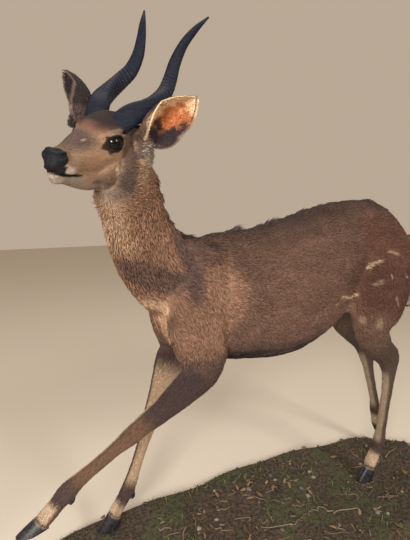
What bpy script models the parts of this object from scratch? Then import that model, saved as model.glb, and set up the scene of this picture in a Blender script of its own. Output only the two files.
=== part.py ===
"""A mounted bushbuck ram, life size, caught in mid bound on a low base of modelled ground.

The ram faces -X, its left side is at -Y and up is +Z. The origin is on the underside of the base, on the floor, below
the middle of the trunk. Sizes are metres. The body is lofted bone by bone, fused into one smooth form and then parted
with thin cuts, so that each part meets its neighbour face to face.
"""

import math

import bmesh
import bpy
import numpy as np
from mathutils import Matrix, Vector
from mathutils.bvhtree import BVHTree

# Driving sizes. Heights of the animal are above the top of the base, z = 0 for the body's own stations.
BASE_TOP = 0.045
GAP = 0.0003
WITHERS_HEIGHT = 0.805
EYE_CENTRE = (-0.460, -0.140, 0.998)
HEAD_YAW = math.radians(43.7)
HEAD_PITCH = math.radians(14.8)
HEAD_ROLL = math.radians(14.7)
EYE_RADIUS = 0.0165
EYE_SEAT = (-0.0060, 0.0325, -0.0030)
EYE_LOOKS = (0.50, 0.86, 0.08)
EAR_LENGTH = 0.126
EAR_TIPS = {1: (-0.122, 0.137, 0.091), -1: (-0.122, -0.145, 0.080)}
HORN_REACH = {1: 1.03, -1: 0.93}
HORN_TWIST = math.radians(200)
BODY_VOXEL = 0.0040
HEAD_VOXEL = 0.0022
BODY_TRIANGLES = 3900
HEAD_TRIANGLES = 2200
HAIR_SEED = 7

# The trunk, front to back: x, height of the back, height of the underside, half width, how much narrower on top.
TRUNK = [
    (-0.300, 0.690, 0.620, 0.034, 0.00),
    (-0.282, 0.722, 0.560, 0.058, 0.00),
    (-0.255, 0.755, 0.512, 0.076, 0.10),
    (-0.205, 0.785, 0.482, 0.091, 0.28),
    (-0.140, WITHERS_HEIGHT - 0.005, 0.470, 0.100, 0.38),
    (-0.040, 0.806, 0.455, 0.110, 0.28),
    (0.060, 0.828, 0.446, 0.119, 0.18),
    (0.150, 0.856, 0.458, 0.118, 0.14),
    (0.240, 0.876, 0.498, 0.106, 0.12),
    (0.320, 0.884, 0.550, 0.094, 0.15),
    (0.400, 0.884, 0.590, 0.092, 0.22),
    (0.465, 0.860, 0.625, 0.084, 0.22),
    (0.525, 0.812, 0.660, 0.062, 0.15),
    (0.565, 0.768, 0.690, 0.034, 0.00),
]

# The neck, top to bottom: centre x, y, z, half width, half depth.
NECK = [
    (-0.398, -0.090, 0.972, 0.048, 0.056),
    (-0.388, -0.079, 0.924, 0.053, 0.071),
    (-0.368, -0.060, 0.866, 0.056, 0.074),
    (-0.346, -0.040, 0.810, 0.059, 0.077),
    (-0.314, -0.019, 0.760, 0.066, 0.086),
    (-0.268, -0.006, 0.712, 0.074, 0.098),
    (-0.205, 0.000, 0.668, 0.084, 0.108),
]

# Muscle and bone of each leg: centre x, y, z, half width, half depth. The left side is nearer the viewer.
SHOULDER_LEFT = [
    (-0.165, -0.036, 0.765, 0.022, 0.045),
    (-0.190, -0.062, 0.690, 0.034, 0.070),
    (-0.218, -0.078, 0.610, 0.038, 0.078),
    (-0.214, -0.086, 0.545, 0.038, 0.068),
    (-0.205, -0.090, 0.500, 0.032, 0.055),
]
FORELEG_LEFT = [
    (-0.175, -0.084, 0.535, 0.034, 0.046),
    (-0.208, -0.091, 0.487, 0.033, 0.050),
    (-0.260, -0.095, 0.445, 0.029, 0.040),
    (-0.315, -0.096, 0.408, 0.023, 0.029),
    (-0.356, -0.095, 0.382, 0.0205, 0.0235),
    (-0.384, -0.094, 0.364, 0.0205, 0.0225),
    (-0.412, -0.094, 0.346, 0.0165, 0.0175),
    (-0.455, -0.095, 0.320, 0.0150, 0.0158),
    (-0.498, -0.095, 0.293, 0.0155, 0.0168),
    (-0.532, -0.095, 0.268, 0.0190, 0.0205),
    (-0.553, -0.095, 0.246, 0.0175, 0.0175),
    (-0.570, -0.095, 0.229, 0.0190, 0.0175),
    (-0.580, -0.095, 0.218, 0.0200, 0.0180),
]
SHOULDER_RIGHT = [
    (-0.165, 0.036, 0.765, 0.022, 0.045),
    (-0.190, 0.062, 0.690, 0.034, 0.068),
    (-0.210, 0.076, 0.610, 0.038, 0.074),
    (-0.205, 0.083, 0.545, 0.036, 0.064),
    (-0.196, 0.085, 0.490, 0.030, 0.048),
]
FORELEG_RIGHT = [
    (-0.190, 0.082, 0.520, 0.030, 0.044),
    (-0.212, 0.083, 0.462, 0.029, 0.044),
    (-0.236, 0.082, 0.400, 0.026, 0.035),
    (-0.260, 0.078, 0.340, 0.021, 0.026),
    (-0.275, 0.075, 0.300, 0.0200, 0.0230),
    (-0.286, 0.073, 0.270, 0.0200, 0.0222),
    (-0.297, 0.071, 0.240, 0.0165, 0.0175),
    (-0.315, 0.069, 0.190, 0.0150, 0.0158),
    (-0.333, 0.067, 0.140, 0.0155, 0.0168),
    (-0.349, 0.067, 0.100, 0.0190, 0.0200),
    (-0.363, 0.068, 0.076, 0.0175, 0.0175),
    (-0.375, 0.069, 0.057, 0.0190, 0.0175),
    (-0.381, 0.069, 0.046, 0.0200, 0.0185),
]
THIGH_LEFT = [
    (0.430, -0.048, 0.800, 0.030, 0.060),
    (0.425, -0.066, 0.740, 0.042, 0.094),
    (0.405, -0.080, 0.665, 0.046, 0.114),
    (0.376, -0.090, 0.590, 0.046, 0.106),
    (0.348, -0.096, 0.535, 0.041, 0.082),
    (0.345, -0.098, 0.500, 0.036, 0.062),
]
HINDLEG_LEFT = [
    (0.335, -0.098, 0.530, 0.036, 0.062),
    (0.362, -0.099, 0.484, 0.033, 0.056),
    (0.396, -0.097, 0.442, 0.027, 0.042),
    (0.427, -0.094, 0.408, 0.0215, 0.0320),
    (0.444, -0.092, 0.378, 0.0205, 0.0290),
    (0.449, -0.091, 0.345, 0.0185, 0.0225),
    (0.449, -0.090, 0.290, 0.0160, 0.0175),
    (0.446, -0.089, 0.225, 0.0150, 0.0165),
    (0.442, -0.088, 0.165, 0.0155, 0.0172),
    (0.438, -0.088, 0.120, 0.0190, 0.0205),
    (0.427, -0.088, 0.092, 0.0175, 0.0175),
    (0.415, -0.088, 0.068, 0.0190, 0.0175),
    (0.407, -0.088, 0.050, 0.0200, 0.0185),
]
HEEL_LEFT = [
    (0.395, -0.094, 0.480, 0.012, 0.020),
    (0.440, -0.091, 0.446, 0.0095, 0.0130),
    (0.471, -0.089, 0.410, 0.0120, 0.0150),
    (0.470, -0.089, 0.372, 0.0120, 0.0130),
    (0.459, -0.090, 0.320, 0.0100, 0.0110),
]
THIGH_RIGHT = [
    (0.445, 0.048, 0.795, 0.030, 0.058),
    (0.450, 0.066, 0.735, 0.042, 0.088),
    (0.445, 0.080, 0.660, 0.045, 0.104),
    (0.430, 0.088, 0.585, 0.044, 0.098),
    (0.418, 0.091, 0.530, 0.040, 0.078),
    (0.420, 0.092, 0.495, 0.034, 0.060),
]
HINDLEG_RIGHT = [
    (0.408, 0.092, 0.520, 0.034, 0.058),
    (0.440, 0.091, 0.472, 0.031, 0.052),
    (0.480, 0.088, 0.425, 0.026, 0.040),
    (0.514, 0.086, 0.385, 0.0215, 0.0310),
    (0.534, 0.084, 0.350, 0.0205, 0.0280),
    (0.548, 0.082, 0.312, 0.0185, 0.0220),
    (0.565, 0.080, 0.258, 0.0160, 0.0175),
    (0.583, 0.078, 0.200, 0.0150, 0.0165),
    (0.599, 0.076, 0.148, 0.0155, 0.0172),
    (0.606, 0.074, 0.112, 0.0190, 0.0205),
    (0.610, 0.073, 0.090, 0.0175, 0.0175),
    (0.613, 0.072, 0.074, 0.0190, 0.0175),
    (0.615, 0.072, 0.062, 0.0200, 0.0180),
]
HEEL_RIGHT = [
    (0.470, 0.084, 0.455, 0.012, 0.020),
    (0.520, 0.083, 0.430, 0.0095, 0.0130),
    (0.558, 0.082, 0.397, 0.0120, 0.0150),
    (0.564, 0.082, 0.357, 0.0120, 0.0130),
    (0.566, 0.081, 0.305, 0.0100, 0.0110),
]
TAIL = [
    (0.530, 0.000, 0.800, 0.022, 0.026),
    (0.574, 0.000, 0.774, 0.020, 0.022),
    (0.612, 0.000, 0.738, 0.018, 0.018),
    (0.634, 0.000, 0.680, 0.020, 0.017),
    (0.642, 0.000, 0.616, 0.018, 0.015),
    (0.641, 0.000, 0.566, 0.011, 0.010),
]

# The head in its own frame: forward, left, up from the point midway between the eyes.
SKULL = [
    (-0.110, 0.004, -0.040, 0.026, 0.00),
    (-0.090, 0.027, -0.062, 0.042, 0.00),
    (-0.055, 0.040, -0.070, 0.047, 0.02),
    (-0.018, 0.042, -0.070, 0.045, 0.00),
    (0.012, 0.035, -0.066, 0.0395, 0.05),
    (0.040, 0.025, -0.060, 0.0325, 0.12),
    (0.070, 0.015, -0.052, 0.0265, 0.18),
    (0.092, 0.005, -0.048, 0.0240, 0.15),
    (0.110, 0.000, -0.045, 0.0232, 0.05),
    (0.122, -0.006, -0.041, 0.0205, 0.00),
    (0.129, -0.013, -0.034, 0.0140, 0.00),
]
JAW = [
    (-0.056, -0.030, -0.088, 0.024, 0.00),
    (-0.030, -0.028, -0.100, 0.029, 0.00),
    (0.006, -0.034, -0.098, 0.027, 0.00),
    (0.044, -0.036, -0.088, 0.0220, 0.00),
    (0.080, -0.035, -0.073, 0.0182, 0.00),
    (0.102, -0.035, -0.063, 0.0165, 0.00),
    (0.118, -0.036, -0.057, 0.0145, 0.00),
    (0.126, -0.039, -0.049, 0.0095, 0.00),
]
HORN = [
    (-0.035, 0.024, 0.020, 0.0200, 0.0205),
    (-0.059, 0.032, 0.036, 0.0200, 0.0202),
    (-0.096, 0.046, 0.048, 0.0190, 0.0195),
    (-0.134, 0.0525, 0.061, 0.0172, 0.0181),
    (-0.172, 0.0525, 0.075, 0.0156, 0.0165),
    (-0.205, 0.0455, 0.096, 0.0142, 0.0151),
    (-0.228, 0.0415, 0.128, 0.0122, 0.0132),
    (-0.248, 0.0465, 0.163, 0.0098, 0.0105),
    (-0.272, 0.0585, 0.193, 0.0070, 0.0074),
    (-0.301, 0.0725, 0.219, 0.0022, 0.0022),
]

# The line inside neck and trunk that the crest of long hair follows, from behind the ears to the rump: x, y, z.
CREST = [
    (-0.392, -0.084, 0.952),
    (-0.378, -0.070, 0.902),
    (-0.357, -0.050, 0.846),
    (-0.328, -0.028, 0.795),
    (-0.280, -0.008, 0.745),
    (-0.215, 0.000, 0.715),
    (-0.120, 0.000, 0.710),
    (0.000, 0.000, 0.720),
    (0.120, 0.000, 0.745),
    (0.260, 0.000, 0.770),
    (0.400, 0.000, 0.770),
    (0.490, 0.000, 0.750),
]

# Each foot: centre of the coronet, the way the pastern points, middle of the sole, the way the toe points.
FEET = {
    "foreleg_left": ((-0.5815, -0.095, 0.2165), (-0.69, 0, -0.72), (-0.6085, -0.095, 0.1995), (-0.99, 0, -0.14)),
    "foreleg_right": ((-0.3830, 0.069, 0.0400), (-0.51, 0, -0.86), (-0.4010, 0.069, GAP), (-1, 0, 0)),
    "hindleg_left": ((0.4040, -0.088, 0.0420), (-0.42, 0, -0.91), (0.3860, -0.088, GAP), (-1, 0, 0)),
    "hindleg_right": ((0.6145, 0.072, 0.0640), (0.25, 0, -0.97), (0.6330, 0.072, 0.0312), (0.04, 0, -1)),
}

# Where the body is parted, seen from the side: the outlines of each shoulder and haunch, and of the tail.
SHOULDER_OUTLINE = [(-0.170, 0.735), (-0.115, 0.690), (-0.090, 0.590), (-0.095, 0.470), (-0.250, 0.340),
                    (-0.700, 0.130), (-0.760, 0.330), (-0.480, 0.460), (-0.300, 0.560), (-0.245, 0.680)]
SHOULDER_OUTLINE_RIGHT = [(-0.170, 0.735), (-0.115, 0.690), (-0.095, 0.590), (-0.110, 0.430), (-0.240, 0.100),
                          (-0.380, -0.060), (-0.520, 0.060), (-0.380, 0.330), (-0.285, 0.540), (-0.245, 0.680)]
HAUNCH_OUTLINE = [(0.225, 0.585), (0.275, 0.690), (0.345, 0.755), (0.425, 0.770), (0.510, 0.735), (0.590, 0.600),
                  (0.560, 0.300), (0.530, -0.020), (0.430, -0.080), (0.320, -0.040), (0.300, 0.250), (0.235, 0.470)]
HAUNCH_OUTLINE_RIGHT = [(0.250, 0.600), (0.290, 0.690), (0.355, 0.755), (0.435, 0.770), (0.515, 0.735),
                        (0.620, 0.600), (0.690, 0.300), (0.730, -0.040), (0.600, -0.090), (0.480, 0.060),
                        (0.400, 0.250), (0.290, 0.480)]
TAIL_OUTLINE = [(0.590, 0.727), (0.598, 0.700), (0.606, 0.650), (0.600, 0.480), (0.720, 0.480), (0.720, 0.800),
                (0.645, 0.757)]
SHOULDER_INSIDE = 0.052
HAUNCH_INSIDE = 0.046

HIDE = (0.26, 0.155, 0.085)
PALE_HIDE = (0.55, 0.42, 0.28)
DARK_HIDE = (0.10, 0.065, 0.045)
EAR_SKIN = (0.50, 0.30, 0.18)
HORN_BLACK = (0.030, 0.028, 0.030)
HOOF_BLACK = (0.015, 0.015, 0.018)
EYE_BLACK = (0.010, 0.007, 0.006)
GROUND = (0.10, 0.085, 0.055)


def clear_scene():
    for thing in list(bpy.data.objects):
        bpy.data.objects.remove(thing, do_unlink=True)


def material(name, colour, roughness, metallic=0.0):
    made = bpy.data.materials.get(name) or bpy.data.materials.new(name)
    made.use_nodes = True
    shader = made.node_tree.nodes["Principled BSDF"]
    shader.inputs["Base Color"].default_value = (*colour, 1.0)
    shader.inputs["Roughness"].default_value = roughness
    shader.inputs["Metallic"].default_value = metallic
    return made


def mesh_object(name, points, faces):
    """A new object from points and faces, with its faces turned outwards."""
    mesh = bpy.data.meshes.new(name)
    mesh.from_pydata([tuple(p) for p in points], [], [tuple(f) for f in faces])
    work = bmesh.new()
    work.from_mesh(mesh)
    bmesh.ops.remove_doubles(work, verts=work.verts, dist=1e-6)
    bmesh.ops.recalc_face_normals(work, faces=work.faces)
    work.to_mesh(mesh)
    work.free()
    thing = bpy.data.objects.new(name, mesh)
    bpy.context.scene.collection.objects.link(thing)
    return thing


def drop(thing):
    bpy.data.objects.remove(thing, do_unlink=True)


def carried(rows, count):
    """Stations carried on a smooth curve: cubic Hermite through the rows, spaced evenly along their centres."""
    rows = np.asarray(rows, float)
    steps = np.linalg.norm(np.diff(rows[:, :3], axis=0), axis=1)
    along = np.concatenate([[0.0], np.cumsum(steps)])
    slope = np.gradient(rows, along, axis=0)
    t = np.linspace(0.0, along[-1], count)
    i = np.clip(np.searchsorted(along, t, side="right") - 1, 0, len(rows) - 2)
    h = (along[i + 1] - along[i])[:, None]
    u = (t - along[i])[:, None] / h
    start = (1 + 2 * u) * (1 - u) ** 2 * rows[i] + u * (1 - u) ** 2 * h * slope[i]
    end = u * u * (3 - 2 * u) * rows[i + 1] + u * u * (u - 1) * h * slope[i + 1]
    return start + end


def ring_faces(rings, around):
    """Quads between neighbouring rings, and a fan of one polygon at each end."""
    faces = []
    for r in range(rings - 1):
        for k in range(around):
            a, b = r * around + k, r * around + (k + 1) % around
            faces.append((a, b, b + around, a + around))
    faces.append(tuple(range(around)))
    faces.append(tuple(reversed(range((rings - 1) * around, rings * around))))
    return faces


def loft(name, rows, rings, around=20, side=(0.0, 1.0, 0.0), side_end=None, taper=0.0, dome=0.7, lobe=0.0, twist=0.0):
    """A limb: elliptical sections square to a smooth path, with domed ends.

    Each row is x, y, z, half width along side, half depth square to it. taper narrows the upper half of a section, and
    may be one number for each ring. lobe and twist give a horn its three-cornered section that turns along the path.
    """
    path = carried(rows, rings)
    centre, width, depth = path[:, :3], path[:, 3], path[:, 4]
    along = np.gradient(centre, axis=0)
    along /= np.linalg.norm(along, axis=1)[:, None]
    share = np.linspace(0.0, 1.0, rings)[:, None]
    aside = (1 - share) * np.asarray(side) + share * np.asarray(side if side_end is None else side_end)
    aside = aside - (aside * along).sum(1)[:, None] * along
    aside /= np.linalg.norm(aside, axis=1)[:, None]
    up = np.cross(along, aside)
    angle = np.arange(around) * 2 * math.pi / around
    turn = angle[None, :] - twist * share
    round_off = 1 + lobe * np.cos(3 * turn)
    across = np.cos(angle)[None, :] * (1 - np.reshape(taper, (-1, 1)) * np.maximum(np.sin(angle), 0.0)[None, :])
    body = centre[:, None, :] + aside[:, None, :] * (width[:, None] * across * round_off)[:, :, None] \
        + up[:, None, :] * (depth[:, None] * np.sin(angle)[None, :] * round_off)[:, :, None]
    caps = []
    for end, sign in ((0, -1.0), (-1, 1.0)):
        for lift in (math.radians(35), math.radians(65)):
            out = along[end] * sign * dome * min(width[end], depth[end]) * math.sin(lift)
            caps.append(centre[end] + (body[end] - centre[end]) * math.cos(lift) + out)
    points = np.concatenate([caps[1][None], caps[0][None], body, caps[2][None], caps[3][None]])
    return mesh_object(name, points.reshape(-1, 3), ring_faces(rings + 4, around))


def barrel(name, rows, rings, around=28):
    """The trunk or the skull: upright sections between a top line and a bottom line, narrower on top where said."""
    rows = [(x, 0.0, (top + low) / 2, half, (top - low) / 2, taper) for x, top, low, half, taper in rows]
    path = carried(rows, rings)
    angle = np.arange(around) * 2 * math.pi / around
    narrow = 1 - path[:, 5:6] * np.maximum(np.sin(angle), 0.0)[None, :]
    points = np.empty((rings, around, 3))
    points[:, :, 0] = path[:, 0:1]
    points[:, :, 1] = path[:, 3:4] * np.cos(angle)[None, :] * narrow
    points[:, :, 2] = path[:, 2:3] + path[:, 4:5] * np.sin(angle)[None, :]
    ends = []
    for end, sign in ((0, -1.0), (-1, 1.0)):
        middle = points[end].mean(0)
        for lift in (math.radians(35), math.radians(65)):
            cap = middle + (points[end] - middle) * math.cos(lift)
            cap[:, 0] += sign * 0.6 * path[end, 3] * math.sin(lift)
            ends.append(cap)
    points = np.concatenate([ends[1][None], ends[0][None], points, ends[2][None], ends[3][None]])
    return mesh_object(name, points.reshape(-1, 3), ring_faces(rings + 4, around))


def ball(name, centre, radii, turn=None, segments=24):
    """An ellipsoid, turned about its own centre."""
    work = bmesh.new()
    bmesh.ops.create_uvsphere(work, u_segments=segments, v_segments=segments // 2, radius=1.0)
    place = Matrix.Translation(Vector(centre)) @ (turn or Matrix.Identity(4)) @ Matrix.Diagonal((*radii, 1.0))
    bmesh.ops.transform(work, matrix=place, verts=work.verts)
    mesh = bpy.data.meshes.new(name)
    work.to_mesh(mesh)
    work.free()
    thing = bpy.data.objects.new(name, mesh)
    bpy.context.scene.collection.objects.link(thing)
    return thing


def head_matrix():
    """Forward, left and up of the head as columns, with the point between the eyes as the origin."""
    forward = Vector((-math.cos(HEAD_YAW) * math.cos(HEAD_PITCH), -math.sin(HEAD_YAW) * math.cos(HEAD_PITCH),
                      -math.sin(HEAD_PITCH)))
    level_left = Vector((0, 0, 1)).cross(forward).normalized()
    level_up = forward.cross(level_left)
    left = level_left * math.cos(HEAD_ROLL) - level_up * math.sin(HEAD_ROLL)
    up = forward.cross(left)
    turn = Matrix((forward, left, up)).transposed().to_4x4()
    return Matrix.Translation(Vector(EYE_CENTRE)) @ turn


def placed(thing, matrix):
    """Moves an object's own points, so that its origin stays at the world's."""
    thing.data.transform(matrix)
    if matrix.determinant() < 0:
        thing.data.flip_normals()
    return thing


def settle(thing):
    """Replaces an object's mesh by what its modifiers make of it."""
    graph = bpy.context.evaluated_depsgraph_get()
    mesh = bpy.data.meshes.new_from_object(thing.evaluated_get(graph))
    thing.modifiers.clear()
    old, thing.data = thing.data, mesh
    bpy.data.meshes.remove(old)
    return thing


def joined(name, pieces):
    """One object that holds the loose shells of several."""
    points, faces, base = [], [], 0
    for piece in pieces:
        points += [tuple(v.co) for v in piece.data.vertices]
        faces += [tuple(base + i for i in p.vertices) for p in piece.data.polygons]
        base += len(piece.data.vertices)
    mesh = bpy.data.meshes.new(name)
    mesh.from_pydata(points, [], faces)
    thing = bpy.data.objects.new(name, mesh)
    bpy.context.scene.collection.objects.link(thing)
    return thing


def fused(name, pieces, voxel, passes, triangles):
    """Several overlapping forms made one smooth skin: remeshed on a grid, relaxed, and thinned to a triangle count."""
    thing = joined(name, pieces)
    for piece in pieces:
        drop(piece)
    remesh = thing.modifiers.new("one_skin", "REMESH")
    remesh.mode = "VOXEL"
    remesh.voxel_size = voxel
    relax = thing.modifiers.new("relax", "SMOOTH")
    relax.factor = 0.5
    relax.iterations = passes
    settle(thing)
    largest_only(thing)
    thin = thing.modifiers.new("thin", "DECIMATE")
    thin.ratio = triangles / (2 * len(thing.data.polygons))
    thin.use_collapse_triangulate = True
    return settle(thing)


def largest_only(thing):
    """Keeps the largest closed surface of a mesh and drops loose scraps and sealed hollows."""
    work = bmesh.new()
    work.from_mesh(thing.data)
    left, best = set(work.verts), []
    while left:
        seed = left.pop()
        group, reach = [seed], [seed]
        while reach:
            for edge in reach.pop().link_edges:
                for other in edge.verts:
                    if other in left:
                        left.discard(other)
                        group.append(other)
                        reach.append(other)
        if len(group) > len(best):
            best = group
    keep = set(best)
    bmesh.ops.delete(work, geom=[v for v in work.verts if v not in keep], context="VERTS")
    work.to_mesh(thing.data)
    work.free()
    return thing


def cut(thing, operation, other, solver="MANIFOLD"):
    """Applies one Boolean and keeps what remains as one closed body."""
    boolean = thing.modifiers.new("cut", "BOOLEAN")
    boolean.operation = operation
    boolean.object = other
    boolean.solver = solver
    settle(thing)
    work = bmesh.new()
    work.from_mesh(thing.data)
    bmesh.ops.triangulate(work, faces=work.faces)
    work.to_mesh(thing.data)
    work.free()
    return largest_only(thing)


def copy_of(thing, name):
    twin = bpy.data.objects.new(name, thing.data.copy())
    bpy.context.scene.collection.objects.link(twin)
    return twin


def grown(thing, by):
    """A copy whose points are moved out along their normals, used to cut what grows from it with a thin gap."""
    twin = copy_of(thing, thing.name + "_grown")
    work = bmesh.new()
    work.from_mesh(twin.data)
    work.normal_update()
    for vert in work.verts:
        vert.co += vert.normal * by
    work.to_mesh(twin.data)
    work.free()
    return twin


def rounded(outline, between=4):
    """A closed outline with its corners rounded: a Catmull-Rom curve through them."""
    corners = np.asarray(outline, float)
    before, after, next_one = np.roll(corners, 1, 0), np.roll(corners, -1, 0), np.roll(corners, -2, 0)
    points = []
    for t in np.arange(between) / between:
        points.append(0.5 * (2 * corners + (after - before) * t + (2 * before - 5 * corners + 4 * after - next_one)
                             * t * t + (3 * corners - before - 3 * after + next_one) * t ** 3))
    return np.stack(points, 1).reshape(-1, 2)


def prism(name, outline, near, far, gap, soft=True):
    """A flat-sided block: an outline in the XZ plane carried from y = near to y = far, grown by gap all round."""
    corners = rounded(outline) if soft else np.asarray(outline, float)
    run = np.roll(corners, -1, 0) - np.roll(corners, 1, 0)
    outward = np.stack([run[:, 1], -run[:, 0]], 1) / np.linalg.norm(run, axis=1)[:, None]
    if (np.roll(corners, -1, 0)[:, 1] * corners[:, 0] - np.roll(corners, -1, 0)[:, 0] * corners[:, 1]).sum() < 0:
        outward = -outward
    corners = corners + outward * gap
    sign = 1.0 if far > near else -1.0
    near -= gap * sign
    points = [(x, near, z) for x, z in corners] + [(x, far, z) for x, z in corners]
    count = len(corners)
    faces = [tuple(range(count)), tuple(reversed(range(count, 2 * count)))]
    faces += [(k, (k + 1) % count, count + (k + 1) % count, count + k) for k in range(count)]
    return mesh_object(name, points, faces)


def half_space(name, point, normal, back, size=0.9):
    """A block that fills the side of a plane its normal points to, starting back behind the plane."""
    normal = Vector(normal).normalized()
    work = bmesh.new()
    bmesh.ops.create_cube(work, size=1.0)
    turn = normal.to_track_quat("Z", "Y").to_matrix().to_4x4()
    place = Matrix.Translation(Vector(point) + normal * (size / 2 + back)) @ turn @ Matrix.Diagonal((size, size, size, 1))
    bmesh.ops.transform(work, matrix=place, verts=work.verts)
    mesh = bpy.data.meshes.new(name)
    work.to_mesh(mesh)
    work.free()
    thing = bpy.data.objects.new(name, mesh)
    bpy.context.scene.collection.objects.link(thing)
    return thing


def part_off(thing, name, region, wider):
    """Takes the piece of a body inside a region as a new object, and leaves the rest clear of it."""
    piece = cut(copy_of(thing, name), "INTERSECT", region)
    cut(thing, "DIFFERENCE", wider)
    drop(region)
    drop(wider)
    return piece


def part_by_plane(thing, name, point, normal, size=0.9):
    """Parts a limb by a plane: the side that the normal points to becomes the new object."""
    region = half_space("region", point, normal, GAP / 2, size)
    wider = half_space("wider", point, normal, -GAP / 2, size)
    return part_off(thing, name, region, wider)


def legs_and_trunk():
    """Trunk, neck, shoulders, thighs and legs as one skin, before it is parted."""
    pieces = [
        barrel("trunk", TRUNK, 40),
        loft("neck", NECK, 26, side_end=(0.0, 1.0, 0.0), side=(-0.55, 0.80, 0.25)),
        loft("tail", TAIL, 16),
    ]
    for rows, rings in ((SHOULDER_LEFT, 16), (SHOULDER_RIGHT, 16), (THIGH_LEFT, 18), (THIGH_RIGHT, 18),
                        (FORELEG_LEFT, 46), (FORELEG_RIGHT, 46), (HINDLEG_LEFT, 46), (HINDLEG_RIGHT, 46),
                        (HEEL_LEFT, 16), (HEEL_RIGHT, 16)):
        pieces.append(loft("limb", rows, rings))
    return pieces


def eye_turn(side):
    """Turns a form that looks along +Y so that it looks the way the eye on this side does."""
    looks = Vector((EYE_LOOKS[0], EYE_LOOKS[1] * side, EYE_LOOKS[2])).normalized()
    along = looks.cross(Vector((0, 0, 1))).normalized() * side
    tilt = Matrix.Rotation(math.radians(9) * side, 3, looks)
    along = tilt @ along
    up = along.cross(looks * side) * 1.0
    turn = Matrix((along, looks * side, up)).transposed()
    return turn.to_4x4()


def eye_seat(side, ahead=0.0):
    """The middle of an eyeball in the head's frame, or a point ahead of it."""
    looks = Vector((EYE_LOOKS[0], EYE_LOOKS[1] * side, EYE_LOOKS[2])).normalized()
    return Vector((EYE_SEAT[0], EYE_SEAT[1] * side, EYE_SEAT[2])) + looks * ahead


def head_pieces():
    """Skull, jaw, cheeks, brows, eyelids, nose pad and lips in the head's own frame."""
    pieces = [barrel("skull", SKULL, 34, 28), barrel("jaw", JAW, 24, 20)]
    for side in (1, -1):
        pieces.append(ball("lids", eye_seat(side), (0.0215, 0.0196, 0.0200), eye_turn(side)))
        pieces.append(ball("brow", (-0.008, side * 0.029, 0.020), (0.024, 0.012, 0.010),
                           Matrix.Rotation(math.radians(-24 * side), 4, "Z")))
        pieces.append(ball("cheek", (-0.024, side * 0.021, -0.058), (0.046, 0.0235, 0.040)))
        pieces.append(ball("jaw_angle", (-0.048, side * 0.012, -0.074), (0.040, 0.030, 0.036)))
        pieces.append(ball("cheekbone", (0.022, side * 0.0275, -0.024), (0.036, 0.010, 0.010),
                           Matrix.Rotation(math.radians(-16 * side), 4, "Z")))
        pieces.append(ball("horn_seat", (-0.048, side * 0.028, 0.024), (0.024, 0.019, 0.016)))
        pieces.append(ball("ear_seat", (-0.078, side * 0.044, 0.004), (0.019, 0.016, 0.017)))
        pieces.append(ball("nostril_wing", (0.117, side * 0.0135, -0.012), (0.0145, 0.0105, 0.0125)))
        pieces.append(ball("upper_lip", (0.098, side * 0.0125, -0.034), (0.032, 0.0125, 0.0115)))
    pieces.append(ball("ear_muscle", (-0.084, 0.052, -0.040), (0.029, 0.024, 0.046)))
    pieces.append(ball("ear_muscle", (-0.080, -0.040, -0.028), (0.026, 0.018, 0.034)))
    pieces.append(ball("nose_pad", (0.123, 0, -0.016), (0.010, 0.014, 0.014)))
    pieces.append(ball("chin", (0.112, 0, -0.051), (0.016, 0.0135, 0.0085)))
    return pieces


def throat_cut():
    """Point and normal of the plane between head and neck, behind the ears and the corner of the jaw."""
    place = head_matrix()
    normal = place.to_3x3() @ Vector((0.62, -0.06, 0.78))
    return place @ Vector((-0.100, 0.0, -0.080)), normal


def ear(name, side):
    """A cupped leaf of skin and gristle, rolled into a tube at its root and open to the front and side."""
    rows, columns, wall = 12, 11, 0.0032
    u = np.linspace(0.0, 1.0, rows)[:, None]
    v = np.linspace(-1.0, 1.0, columns)[None, :]
    half_angle = np.radians(150 - 78 * np.minimum(u / 0.55, 1.0))
    width = 0.012 + 0.027 * np.sin(math.pi * np.clip(u, 0, 1) ** 0.90) ** 0.8
    width = width * np.sqrt(np.clip(1 - np.clip((u - 0.62) / 0.385, 0, 1) ** 3.0, 0.0, 1.0))
    bow = np.where(half_angle > math.pi / 2, 1.0, np.sin(half_angle))
    radius = np.maximum(width, 0.0035) / bow
    phi = v * half_angle
    back = 0.018 * np.sin(math.pi * u)
    outer = np.stack([radius * (1 - np.cos(phi)) - back, radius * np.sin(phi), EAR_LENGTH * u + 0 * v], -1)
    shrunk = np.maximum(radius - wall, 0.0012)
    inner = np.stack([wall + shrunk * (1 - np.cos(phi)) - back, shrunk * np.sin(phi), EAR_LENGTH * u + 0 * v], -1)
    inner[-1, :, 2] -= wall * 0.8
    points = np.concatenate([outer.reshape(-1, 3), inner.reshape(-1, 3)])
    half = rows * columns
    faces = []
    for r in range(rows - 1):
        for k in range(columns - 1):
            a = r * columns + k
            corner = (a, a + 1, a + columns + 1, a + columns)
            for skin in ((corner[0], corner[1], corner[2]), (corner[0], corner[2], corner[3])):
                faces.append(skin)
                faces.append(tuple(half + i for i in reversed(skin)))
    for r in range(rows - 1):
        for edge in (0, columns - 1):
            a = r * columns + edge
            faces.append((a, a + columns, half + a + columns, half + a))
    for k in range(columns - 1):
        for edge in (0, (rows - 1) * columns):
            a = edge + k
            faces.append((a, a + 1, half + a + 1, half + a))
    thing = mesh_object(name, points, faces)
    root = Vector((-0.084, side * 0.051, 0.001))
    tip = Vector(EAR_TIPS[side])
    lengthwise = (tip - root).normalized()
    opening = Vector((0.72, side * 0.62, -0.20))
    opening = (opening - opening.dot(lengthwise) * lengthwise).normalized()
    across = lengthwise.cross(opening)
    turn = Matrix((opening, across, lengthwise)).transposed().to_4x4()
    return placed(thing, head_matrix() @ Matrix.Translation(root) @ turn)


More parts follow.
